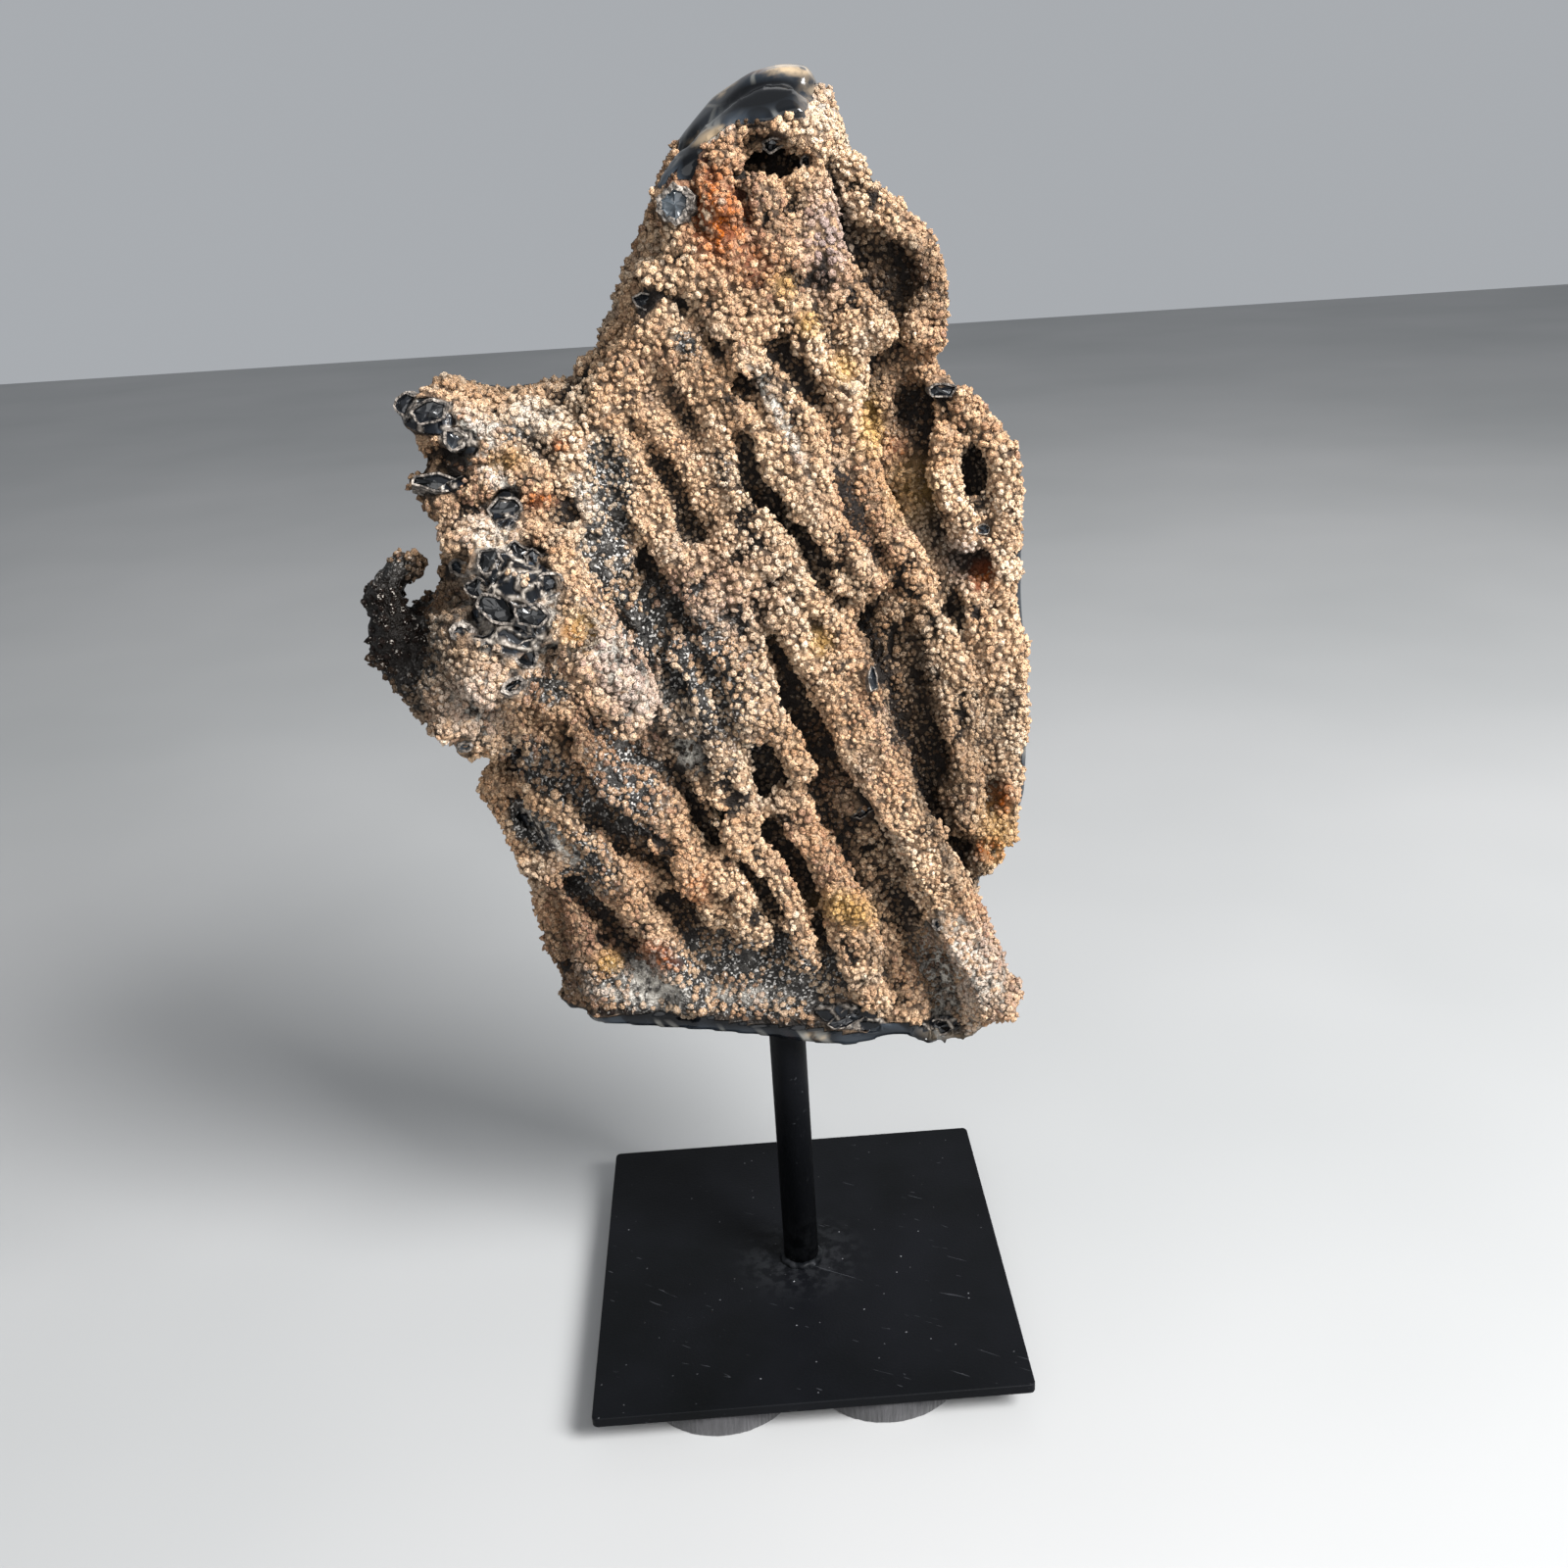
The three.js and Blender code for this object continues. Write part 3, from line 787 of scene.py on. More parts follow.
        # Painted shade from the dark ovals; at the peak's cut it deepens the stone's black
        body = board.blend(board.attribute("dark"), body, "#050608")
        # Chalky pale stone, and painted light where the pale oval at the lower right lies
        chalky = board.attribute("pale") * board.noise(0.003, place).between(0.3, 0.6)
        return board.blend(chalky, body, "#94826A")


class CrustFinish:
    """The nodules: sugary tan chalcedony, with painted shade where they meet and painted glints here and
    there.
    """

    name = "nodule_crust"

    def material(self) -> bpy.types.Material:
        """Builds the finish.

        Returns:
            The material, which reads tip, tone, nook and the stained and shaded patches from the piece; low
            tips, the nook and the dark ovals are painted as shade.
        """
        board = Board(self.name)
        place = board.here()
        tip = board.attribute("tip")
        tone = board.attribute("tone") * 0.5 + board.noise(0.0006, place, 3) * 0.5
        colour = board.ramp(tone, [(0.3, "#94705A"), (0.43, "#BC9674"), (0.56, "#D3B18E"), (0.74, "#E9D4BB")])
        wide = board.noise(0.016, place, 3)
        colour = board.blend(wide.between(0.5, 0.66) * 0.45, colour, "#AC7F59")
        colour = board.blend((1 - wide).between(0.52, 0.68) * 0.45, colour, "#BBAD9B")
        colour = board.blend(board.attribute("lilac") * 0.7, colour, "#958789")
        druzy = board.attribute("druzy")
        colour = board.blend(druzy * 0.45, colour, "#75685C")
        colour = board.blend(board.attribute("ochre") * 0.7, colour, "#C0954C")
        rusty = board.attribute("rust") * board.noise(0.004, place).between(0.36, 0.6)
        colour = board.blend(rusty, colour, "#B4601E")
        # Pale mottling, and painted light where the pale oval at the lower right lies
        mottled = board.attribute("pale") * board.noise(0.0025, place, 3).between(0.3, 0.6)
        colour = board.blend(mottled * 0.8, colour, "#D2C9BE")
        # Painted shade on the low part of each nodule, where it meets the others
        colour = board.blend((1 - tip.between(0.0, 0.48)) * 0.64, colour, "#634632")
        # Painted shade from the dark ovals
        colour = board.blend(board.attribute("dark") * 0.88, colour, "#190F0A")
        # Painted shade in crevices, darker the deeper the nook
        colour = board.blend(board.attribute("nook").between(0.25, 0.95) * 0.82, colour, "#1A100A")
        # Painted glints: a few near-white specks, more of them on the druzy quartz
        painted_glint = board.lots(0.0004, place).between(0.86, 0.98)
        colour = board.blend(painted_glint * (0.16 + druzy * 0.42), colour, "#F7EEE2")
        roughness = 0.95 - druzy * 0.4 - painted_glint * 0.3
        grain = 1 - board.cells(0.0007, place)
        fine = board.noise(0.0004, place, 3)
        heights = [(grain, 0.0009), (fine, 0.0008)]
        return board.finish(heights, Base_Color=colour, Roughness=roughness, Specular_IOR_Level=0.16)


class CellFinish:
    """The two stones of a broken coral tube."""

    def wall(self) -> bpy.types.Material:
        """Builds the wall's finish.

        Returns:
            Milky quartz, a little sugary.
        """
        board = Board("cell_wall")
        place = board.here()
        stops = [(0.38, "#2C2824"), (0.54, "#6F665E"), (0.72, "#B4ABA0")]
        colour = board.ramp(board.noise(0.0014, place, 4), stops)
        heights = [(1 - board.cells(0.0009, place), 0.0009), (board.noise(0.0005, place), 0.0005)]
        return board.finish(heights, Base_Color=colour, Roughness=0.65)

    def core(self) -> bpy.types.Material:
        """Builds the core's finish.

        Returns:
            Black chalcedony with a bluish cloud in it.
        """
        board = Board("cell_core")
        place = board.here()
        stops = [(0.35, "#060708"), (0.55, "#111317"), (0.75, "#3B4146")]
        colour = board.ramp(board.noise(0.004, place, 4) * 0.6 + board.attribute("tone") * 0.4, stops)
        chips = board.cells(0.003, place)
        return board.finish([(chips, 0.0006)], Base_Color=colour, Roughness=0.16, IOR=1.54)


@dataclass(frozen=True)
class BrokenTube:
    """The broken end of one coral tube: where it shows in the frame, its half width and its sides."""

    across: float
    down: float
    reach: float
    sides: int = 6
    wide: float = 1.0
    turn: float = 0.0
    grey: float = 0.2
    ring: float = 0.16
    lift: float = 0.8


# Broken tubes on the cluster, the arm's tip, the brow and the foot
TUBES = [
    BrokenTube(470, 580, 2.6, 7, 1.15, 10, 0.9, 0.3),
    BrokenTube(500, 574, 3.2, 6, 1.0, 30, 0.1),
    BrokenTube(528, 566, 3.0, 5, 1.0, 0, 0.15),
    BrokenTube(560, 597, 3.4, 5, 1.1, 20, 0.7),
    BrokenTube(545, 572, 2.4, 6, 1.0, 0, 0.5),
    BrokenTube(508, 622, 3.8, 6, 1.5, -30, 0.05),
    BrokenTube(543, 628, 3.4, 5, 1.2, -20, 0.1),
    BrokenTube(537, 667, 3.6, 3, 1.2, 90, 0.3, 0.2),
    BrokenTube(488, 600, 2.6, 5, 1.1, 0, 0.1),
    BrokenTube(472, 645, 2.9, 9, 1.0, 0, 0.35, 0.4),
    BrokenTube(525, 700, 2.4, 8, 1.2, 20, 0.1, 0.35),
    BrokenTube(475, 762, 1.8, 8, 1.1, 0, 0.8, 0.4),
    BrokenTube(415, 412, 3.2, 6, 1.0, 0, 0.5),
    BrokenTube(438, 420, 3.4, 5, 1.4, 10, 0.35),
    BrokenTube(465, 448, 3.0, 6, 1.0, 40, 0.75, 0.25),
    BrokenTube(447, 494, 3.2, 6, 2.0, -12, 0.25),
    BrokenTube(515, 520, 3.6, 6, 1.2, 20, 0.0),
    BrokenTube(690, 208, 4.3, 10, 1.0, 0, 1.0, 0.27, 2.2),
    BrokenTube(658, 308, 2.6, 6, 0.8, 70, 0.6),
    BrokenTube(960, 398, 2.4, 5, 1.6, 0, 0.5),
    BrokenTube(890, 692, 1.9, 5, 1.9, 80, 0.8),
    BrokenTube(883, 826, 2.2, 5, 2.0, 30, 0.4),
    BrokenTube(958, 942, 1.9, 6, 1.0, 0, 0.6, 0.4),
    BrokenTube(1003, 540, 1.6, 5, 1.3, 0, 0.7),
    BrokenTube(823, 165, 1.4, 7, 1.0, 0, 0.1, 0.3),
    BrokenTube(865, 1038, 3.4, 5, 1.8, 20, 0.5, 0.1),
    BrokenTube(958, 1048, 3.2, 6, 1.6, 0, 0.3),
    BrokenTube(790, 147, 2.0, 7, 1.5, 10, 0.1, 0.25),
]


@dataclass
class Stone:
    """The coral head: its body, its crust and the broken tubes in it."""

    origin: Vector
    view: Viewpoint
    solid: bpy.types.Object
    voxel: float = 1.25 * MM
    sink: float = 2.1 * MM
    clump_room: float = 4.3 * MM
    clump_height: float = 1.5 * MM
    clump_tries: int = 16000
    nodule_tries: int = 150000
    nodule_least: float = 0.6
    nodule_spread: float = 0.58
    soft_rounds: int = 70
    crowding: float = 1.56
    seed: int = 11

    # In millimetres, like the rest of the layout
    back_edge: float = 13.5
    foot_band: float = 3.9
    cut_floor: float = 300

    body: bpy.types.Object | None = field(default=None, init=False)
    nook_tree: KDTree | None = field(default=None, init=False)
    nook_depth: np.ndarray | None = field(default=None, init=False)

    # Squeezes places along the way the branches run, so that ripples on them become fine ridges
    grain = np.eye(3) - 0.7 * np.outer((0.45, 0, -0.89), (0.45, 0, -0.89))

    # Where the peak was cut: a point of each facet and the way it faces
    facets = [((12, -12, 317), (-0.25, -0.7, 1)), ((-9, -12, 310), (-0.7, -0.4, 1))]

    def local(self, points: np.ndarray) -> np.ndarray:
        """Points in millimetres from the centre of the plate's top face."""
        return (points - np.array(self.origin)) / MM

    def polish_at(self, points: np.ndarray, normals: np.ndarray) -> np.ndarray:
        """Where the stone was cut and polished.

        Args:
            points: places on it, in metres.
            normals: the way it faces there.

        Returns:
            From zero where it is natural to one where it is polished.
        """
        x, y, z = self.local(points).T
        sliver = np.where((z < 212) | (z > 272), 8, 3)
        edge = self.back_edge + 1.2 * ripple(points, 0.02, 3)
        edge += np.clip(-x / 25, 0, 2.5)
        edge -= np.clip((x - 44) / 3, 0, sliver)
        back = np.clip((y - edge) / 1.2 + 0.5, 0, 1)
        above = z - np.interp(x, *zip(*FOOT_LINE))
        under = (normals[:, 2] < -0.6) & (above < 1.5)
        ends = np.clip((np.abs(x - 2) - 38) / 6, 0, 6)
        band = above < self.foot_band + 1.4 * ripple(points, 0.03, 17) - ends
        polish = np.maximum(back, (under | band).astype(float))
        for point, way in self.facets:
            toward = np.array(way) / np.linalg.norm(way)
            height = (np.stack([x, y, z], 1) - np.array(point)) @ toward
            cut = (height > -0.9) & (normals @ toward > 0.86) & (z > self.cut_floor)
            polish = np.maximum(polish, cut.astype(float))
        pixels = self.view.pixels(points)
        shown = (y < 20) & inside(pixels, PEAK_CUT) & (z > self.cut_floor - 4)
        return np.maximum(polish, shown.astype(float))

    def stains_and_painted_light_at(self, points: np.ndarray) -> dict[StainOrPaintedLight, np.ndarray]:
        """How strongly each stain, painted shade or painted light covers each place.

        Args:
            points: places in metres, one row each.

        Returns:
            For each kind of stain, painted shade or painted light, one number for each place.
        """
        pixels = self.view.pixels(points)
        found = {stain: np.zeros(len(points)) for stain in StainOrPaintedLight}
        for stain, ovals in PATCHES.items():
            for oval in ovals:
                found[stain] = np.maximum(found[stain], Patch(*oval).share(pixels))
        # Painted shade: the further back a place lies, the darker it is painted
        depth = self.local(points)[:, 1]
        found[StainOrPaintedLight.DARK] = np.maximum(found[StainOrPaintedLight.DARK], 0.5 * np.clip((depth - 4) / 8, 0, 1))
        return found

    def evened(self) -> bpy.types.Mesh:
        """The frame's solid with its facets evened out.

        Returns:
            One fine closed skin.
        """
        made = bmesh.new()
        made.from_mesh(self.solid.data)
        bmesh.ops.remove_doubles(made, verts=made.verts, dist=1e-6)
        raw = mesh_from(made, "raw_stone")
        holder = bpy.data.objects.new("raw_stone", raw)
        bpy.context.scene.collection.objects.link(holder)
        remesh = holder.modifiers.new("skin", "REMESH")
        remesh.mode = "VOXEL"
        remesh.voxel_size = self.voxel
        graph = bpy.context.evaluated_depsgraph_get()
        skin = bpy.data.meshes.new_from_object(holder.evaluated_get(graph))
        bpy.data.objects.remove(holder)
        fine = bmesh.new()
        fine.from_mesh(skin)
        for _ in range(2):
            bmesh.ops.smooth_vert(
                fine, verts=fine.verts, factor=0.5, use_axis_x=True, use_axis_y=True, use_axis_z=True
            )
        return mesh_from(fine, "stone_skin")

    def scatter(self, mesh: bpy.types.Mesh, count: int, seed: int) -> tuple[np.ndarray, np.ndarray]:
        """Places spread at random over a mesh.

        Args:
            mesh: what they lie on.
            count: how many.
            seed: which spread.

        Returns:
            The places and the way the mesh faces at each.
        """
        chance = np.random.default_rng(seed)
        mesh.calc_loop_triangles()
        corners = np.empty(len(mesh.loop_triangles) * 3, np.int32)
        mesh.loop_triangles.foreach_get("vertices", corners)
        corners = corners.reshape(-1, 3)
        points = points_of(mesh)
        normals = normals_of(mesh)
        a, b, c = (points[corners[:, i]] for i in range(3))
        area = np.linalg.norm(np.cross(b - a, c - a), axis=1)
        chosen = chance.choice(len(corners), count, p=area / area.sum())
        u = np.sqrt(chance.random(count))[:, None]
        v = chance.random(count)[:, None]
        weights = np.hstack([1 - u, u * (1 - v), u * v])
        picked = corners[chosen]
        place = sum(weights[:, i : i + 1] * points[picked[:, i]] for i in range(3))
        facing = sum(weights[:, i : i + 1] * normals[picked[:, i]] for i in range(3))
        return place, facing / np.linalg.norm(facing, axis=1, keepdims=True)

    def clumps(self, mesh: bpy.types.Mesh, points: np.ndarray, room: float, seed: int) -> np.ndarray:
        """Rounded clumps that crowd together over the natural face.

        Args:
            mesh: what they grow on.
            points: its points.
            room: the width of one clump, in metres.
            seed: which arrangement.

        Returns:
            For each point from zero between the clumps to one on top of one.
        """
        place, facing = self.scatter(mesh, self.clump_tries, seed)
        natural = self.polish_at(place, facing) < 0.5
        wide = room * (1 + 0.35 * ripple(place, 0.02, seed + 50))
        near = Nearness(1.6 * room)
        kept = [i for i in range(len(place)) if natural[i] and near.settle(tuple(place[i]), float(wide[i]))]
        tree = KDTree(len(kept))
        for number, i in enumerate(kept):
            tree.insert(place[i], number)
        tree.balance()
        distance = np.array([tree.find(p)[2] for p in points])
        return np.sqrt(np.clip(1 - (distance / (0.7 * room)) ** 2, 0, 1))

    def build_body(self, material: bpy.types.Material) -> None:
        """Grows the body: the evened skin, drawn in a little and roughened into clumps where it is natural.

        Args:
            material: its finish.
        """
        mesh = self.evened()
        points = points_of(mesh)
        normals = normals_of(mesh)
        edges = np.empty(len(mesh.edges) * 2, np.int32)
        mesh.edges.foreach_get("vertices", edges)
        edges = edges.reshape(-1, 2)
        polish = self.polish_at(points, normals)
        even = softened(points, edges, self.soft_rounds)
        relief = softened(((points - even) * normals).sum(axis=1)[:, None], edges, 3)[:, 0] / MM
        deepen = np.clip(relief * 0.9, -4.2, 0.3) * MM
        bulge = self.clumps(mesh, points, self.clump_room, self.seed)
        lobe = self.clumps(mesh, points, 1.7 * self.clump_room, self.seed + 1)
        stains_and_painted_light = self.stains_and_painted_light_at(points)
        cells = np.clip(stains_and_painted_light[StainOrPaintedLight.CELLS] * 2, 0, 1)
        lively = np.clip(0.9 + 0.5 * ripple(points, 0.03, 15), 0.4, 1.4) * (1 - 0.6 * stains_and_painted_light[StainOrPaintedLight.FINE])
        grown = lively * (0.7 * bulge + 0.9 * lobe)
        rise = -self.sink + self.clump_height * grown * (1 - cells) + 1.2 * MM * cells
        rise += deepen + 0.5 * MM * ripple(points @ self.grain.T, 0.0065, 5)
        soft_polish = softened(polish[:, None], edges, 1)[:, 0]
        moved = points + normals * (rise * (1 - soft_polish))[:, None]
        mesh.vertices.foreach_set("co", moved.astype(np.float32).ravel())
        mesh.update()
        # How deep in a crevice or hollow each point lies: the finishes paint shade there, and fewer, smaller
        # nodules sit there
        crevice = np.clip(1.05 - 0.7 * bulge - 0.9 * lobe, 0, 1) ** 1.4
        nook = np.maximum(np.clip(-relief / 1.7, 0, 1), lively * crevice)
        self.nook_tree = KDTree(len(points))
        for number, point in enumerate(moved):
            self.nook_tree.insert(point, number)
        self.nook_tree.balance()
        self.nook_depth = nook
        store(mesh, "polish", polish)
        store(mesh, "nook", nook * (1 - polish))
        seen = 1 - polish * np.clip((self.local(points)[:, 1] - 12) / 3, 0, 1)
        for stain in StainOrPaintedLight:
            store(mesh, stain.value, stains_and_painted_light[stain] * seen)
        self.body = piece("coral_body", mesh, "coral", material)
        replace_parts(self.body, "coral_head")

    def nodule_shapes(self) -> list[tuple[np.ndarray, np.ndarray]]:
        """A few knobbly nodules, each a ball with one or two smaller ones grown on it.

        Returns:
            The points and the triangles of each.
        """
        shapes = []
        for number in range(8):
            chance = np.random.default_rng(60 + number)
            made = bmesh.new()
            balls = [(Vector((0, 0, 0)), 1.0)]
            for _ in range(1 + number % 2):
                angle = chance.uniform(0, math.tau)
                rise = chance.uniform(0.05, 0.75)
                level = math.cos(rise)
                out = Vector((math.cos(angle) * level, math.sin(angle) * level, math.sin(rise)))
                balls.append((out * chance.uniform(0.72, 0.9), chance.uniform(0.5, 0.68)))
            for place, radius in balls:
                sides, rings = (7, 4) if radius == 1 else (5, 3)
                new = bmesh.ops.create_uvsphere(
                    made,
                    u_segments=sides,
                    v_segments=rings,
                    radius=radius,
                    matrix=Matrix.Translation(place),
                )["verts"]
                hidden = [v for v in new if v.co.z < place.z - 0.5 * radius]
                bmesh.ops.delete(made, geom=hidden, context="VERTS")
            bmesh.ops.triangulate(made, faces=made.faces)
            bmesh.ops.holes_fill(made, edges=made.edges)
            bmesh.ops.recalc_face_normals(made, faces=made.faces)
            made.verts.index_update()
            ball = np.array([v.co[:] for v in made.verts])
            ball *= (1 + 0.24 * ripple(ball, 1.1, 40 + number))[:, None]
            shapes.append((ball, fans(made)))
            made.free()
        return shapes

    def build_crust(self, material: bpy.types.Material, bands: int = 6) -> None:
        """Seats the nodules on the body, in bands from the foot up.

        Args:
            material: their finish.
            bands: how many pieces they make.
        """
        chance = np.random.default_rng(self.seed + 1)
        mesh = self.body.data
        place, facing = self.scatter(mesh, self.nodule_tries, self.seed + 2)
        lower = place - np.array((0, 0, 1.3 * MM))
        natural = np.maximum(self.polish_at(place, facing), self.polish_at(lower, facing)) < 0.4
        stains_and_painted_light = self.stains_and_painted_light_at(place)
        nook = np.array([self.nook_depth[self.nook_tree.find(p)[1]] for p in place])
        size = self.nodule_least + self.nodule_spread * chance.random(len(place)) ** 1.3
        size += 0.13 * ripple(place, 0.03, 9)
        size *= (1 - 0.25 * nook) * (1 - 0.2 * stains_and_painted_light[StainOrPaintedLight.FINE]) * MM
        largest_first = np.argsort(-size)
        bare = np.clip(stains_and_painted_light[StainOrPaintedLight.DRUZY] * 1.1, 0, 0.96) + 0.55 * (nook > 0.7)
        bare += np.clip(stains_and_painted_light[StainOrPaintedLight.CELLS] * 2.5, 0, 1.2)
        bare += self.near_tubes(place)
        thin = chance.random(len(place)) < bare * (0.9 + 0.25 * ripple(place, 0.012, 21))
        near = Nearness(3 * MM)
        kept = [
            i
            for i in largest_first
            if natural[i] and not thin[i] and near.settle(tuple(place[i]), float(size[i]) * self.crowding)
        ]
        order = np.array(kept)[np.argsort(place[kept][:, 2])]
        log.info("%d nodules", len(order))
        for number, band in enumerate(np.array_split(order, bands), 1):
            chosen = {stain: values[band] for stain, values in stains_and_painted_light.items()}
            name = f"crust_band_{number}"
            self._seat(name, place[band], facing[band], size[band], nook[band], chosen, material)

    def near_tubes(self, points: np.ndarray) -> np.ndarray:
        """Where broken tubes leave no room for nodules.

        Args:
            points: places in metres, one row each.

        Returns:
            From zero away from the tubes to over one where they show.
        """
        pixels = self.view.pixels(points)
        near = np.zeros(len(points))
        for tube in TUBES:
            apart = np.hypot(pixels[:, 0] - tube.across, pixels[:, 1] - tube.down)
            near = np.maximum(near, np.clip(7.5 - 6 * apart / (4.4 * tube.reach + 3), 0, 1.5))
        return near

    def _seat(
        self,
        name: str,
        place: np.ndarray,
        facing: np.ndarray,
        size: np.ndarray,
        nook: np.ndarray,
        stains_and_painted_light: dict[StainOrPaintedLight, np.ndarray],
        material: bpy.types.Material,
    ) -> None:
        """Joins one band of nodules into a piece.

        Args:
            name: the piece's name.
            place: where each nodule sits.
            facing: the way the body faces there.
            size: each nodule's half width, in metres.
            nook: how deep in a crevice it sits.
            stains_and_painted_light: how strongly each stain, painted shade or painted light covers it.
            material: the finish.
        """
        chance = np.random.default_rng(len(place))
        shapes = self.nodule_shapes()
        kind = chance.integers(0, len(shapes), len(place))
        tone = np.clip(0.5 + 0.12 * chance.normal(size=len(place)) + 0.2 * ripple(place, 0.05, 31), 0, 1)
        aside = np.cross(facing, chance.normal(size=facing.shape))
        aside /= np.linalg.norm(aside, axis=1, keepdims=True)
        other = np.cross(facing, aside)
        frames = np.stack([aside, other, facing], axis=1)
        stretch = np.stack([1 + 0.12 * chance.normal(size=len(place)) for _ in range(3)], axis=1)
        stretch[:, 2] *= 0.95
        everywhere = []
        faces = []
        sources = []
        tips = []
        start = 0
        for number, (ball, triangles) in enumerate(shapes):
            chosen = np.flatnonzero(kind == number)
            shaped = ball[None] * (stretch[chosen] * size[chosen, None])[:, None, :]
            put = np.einsum("nvi,nij->nvj", shaped, frames[chosen])
            put += (place[chosen] - facing[chosen] * (0.1 * size[chosen])[:, None])[:, None, :]
            everywhere.append(put.reshape(-1, 3))
            steps = start + np.arange(len(chosen)) * len(ball)
            faces.append((triangles[None] + steps[:, None, None]).reshape(-1, 3))
            sources.append(np.repeat(chosen, len(ball)))
            # How high on its ball each point lies, from which the finish paints shade on the low parts
            tips.append(np.tile(np.clip((ball[:, 2] + 0.3) / 1.3, 0, 1), len(chosen)))
            start += len(chosen) * len(ball)
        mesh = bpy.data.meshes.new(name)
        mesh.from_pydata(np.concatenate(everywhere), [], np.concatenate(faces))
        mesh.polygons.foreach_set("use_smooth", [True] * len(mesh.polygons))
        source = np.concatenate(sources)
        store(mesh, "tip", np.concatenate(tips))
        store(mesh, "tone", tone[source])
        store(mesh, "nook", nook[source])
        for stain, values in stains_and_painted_light.items():
            store(mesh, stain.value, values[source])
        piece(name, mesh, "coral", material)

    def build_tubes(self, wall: bpy.types.Material, core: bpy.types.Material) -> None:
        """Sets the broken tubes into the body, all in one piece.

        Args:
            wall: the finish of their walls.
            core: the finish of the stone that fills them.
        """
        skin = bmesh.new()
        skin.from_mesh(self.body.data)
        tree = BVHTree.FromBMesh(skin)
        made = bmesh.new()
        tone = made.verts.layers.float.new("tone")
        for tube in TUBES:
            way = self.view.ray(tube.across, tube.down)
            hit, normal, _, _ = tree.ray_cast(self.view.seat(), way)
            if hit is None:
                log.warning("no stone behind the tube at %s, %s", tube.across, tube.down)
                continue
            facing = (normal - way * 1.4).normalized()
            self._tube(made, tube, hit, facing, tone)
        skin.free()
        piece("broken_tubes", mesh_from(made, "broken_tubes", smooth=False), "coral", wall, core)

    def _tube(
        self,
        made: bmesh.types.BMesh,
        tube: BrokenTube,
        hit: Vector,
        facing: Vector,
        tone: bmesh.types.BMLayerItem,
    ) -> None:
        """One broken tube: a short prism whose end is a ring of wall round a sunken core.

        Args:
            made: the bmesh that it joins.
            tube: its sizes.
            hit: where it comes out of the body.
            facing: the way its end faces.
            tone: the layer that keeps how grey its core is.
        """
        turn = facing.to_track_quat("Z", "Y").to_matrix().to_4x4()
        twist = Matrix.Rotation(math.radians(tube.turn), 4, "Z")
        stretch = Matrix.Diagonal((tube.wide, 1 / math.sqrt(tube.wide), 1, 1))
        place = Matrix.Translation(hit + facing * (tube.lift - 2.5) * MM) @ turn @ twist @ stretch
        segments = 3 * tube.sides
        new = bmesh.ops.create_cone(
            made,
            cap_ends=True,
            segments=segments,
            radius1=tube.reach * 1.15 * MM,
            radius2=tube.reach * MM,
            depth=5 * MM,
            matrix=place,
        )["verts"]
        back = place.inverted()
        found = np.array([vert.co[:] for vert in new])
        wobble = 0.45 * MM * ripple(found, 0.004, tube.sides)
        wobble += 0.1 * MM * ripple(found, 0.002, tube.sides + 20)
        for vert, amount in zip(new, wobble):
            vert[tone] = tube.grey
            flat = back @ vert.co
            corner = 0.93 + 0.07 * math.cos(tube.sides * math.atan2(flat.x, flat.y))
            vert.co = place @ Vector((flat.x * corner, flat.y * corner, flat.z))
            vert.co += (vert.co - place.translation).normalized() * float(amount)
        ends = {face for vert in new for face in vert.link_faces if len(face.verts) == segments}
        top = max(ends, key=lambda face: (face.calc_center_median() - hit).dot(facing))
        width = tube.reach * tube.ring * MM
        bmesh.ops.inset_region(made, faces=[top], thickness=width, depth=-0.1 * MM)
        inner = bmesh.ops.inset_region(made, faces=[top], thickness=0.35 * MM, depth=-0.7 * MM)["faces"]
        for face in [top, *inner]:
            face.material_index = 1
        middle = bmesh.ops.poke(made, faces=[top])
        for face in middle["faces"]:
            face.material_index = 1
        for vert in middle["verts"]:
            vert.co += facing * 0.5 * MM
            vert[tone] = tube.grey


@dataclass(frozen=True)
class PaintFinish:
    """Satin black paint on steel, with fine scratches and the dust that gathers round the weld."""

    weld: Triple

    def material(self) -> bpy.types.Material:
        """Builds the finish.

        Returns:
            The material.
        """
        board = Board("black_paint")
        place = board.here()
        colour = board.ramp(board.noise(0.03, place, 4), [(0.3, "#060708"), (0.7, "#0C0D10")])
        dragged = board.bent(place, 0.002, 0.0004)
        apart = 0.0022
        chosen = board.lots(apart, dragged).between(0.86, 0.94)
        dust = (1 - board.cells(apart, dragged).between(0.04, 0.16)) * chosen
        ends = {0: place, 1: self.weld}
        away = board.node("ShaderNodeVectorMath", {"operation": "DISTANCE"}, ends, "Value")
        gathered = (1 - away.between(0.006, 0.024)) * board.noise(0.003, place, 4).between(0.42, 0.62)
        scattered = board.noise(0.03, place).between(0.46, 0.62)
        colour = board.blend(dust * (0.12 + 0.3 * scattered + gathered), colour, "#9A9B9E")
        colour = board.blend(gathered * 0.05, colour, "#6C6E72")
        scratch = board.noise(0.0016, board.here((0, 0, 0.5), (0.12, 1, 1)), 1, 1.5).between(0.74, 0.78)
        colour = board.blend(scratch * 0.2, colour, "#5A5C60")
        roughness = 0.36 + board.noise(0.012, place, 5) * 0.22 + scratch * 0.1
        peel = board.noise(0.0009, place, 3)
        heights = [(peel, 0.00008)]
        return board.finish(heights, Base_Color=colour, Roughness=roughness, Specular_IOR_Level=0.06)


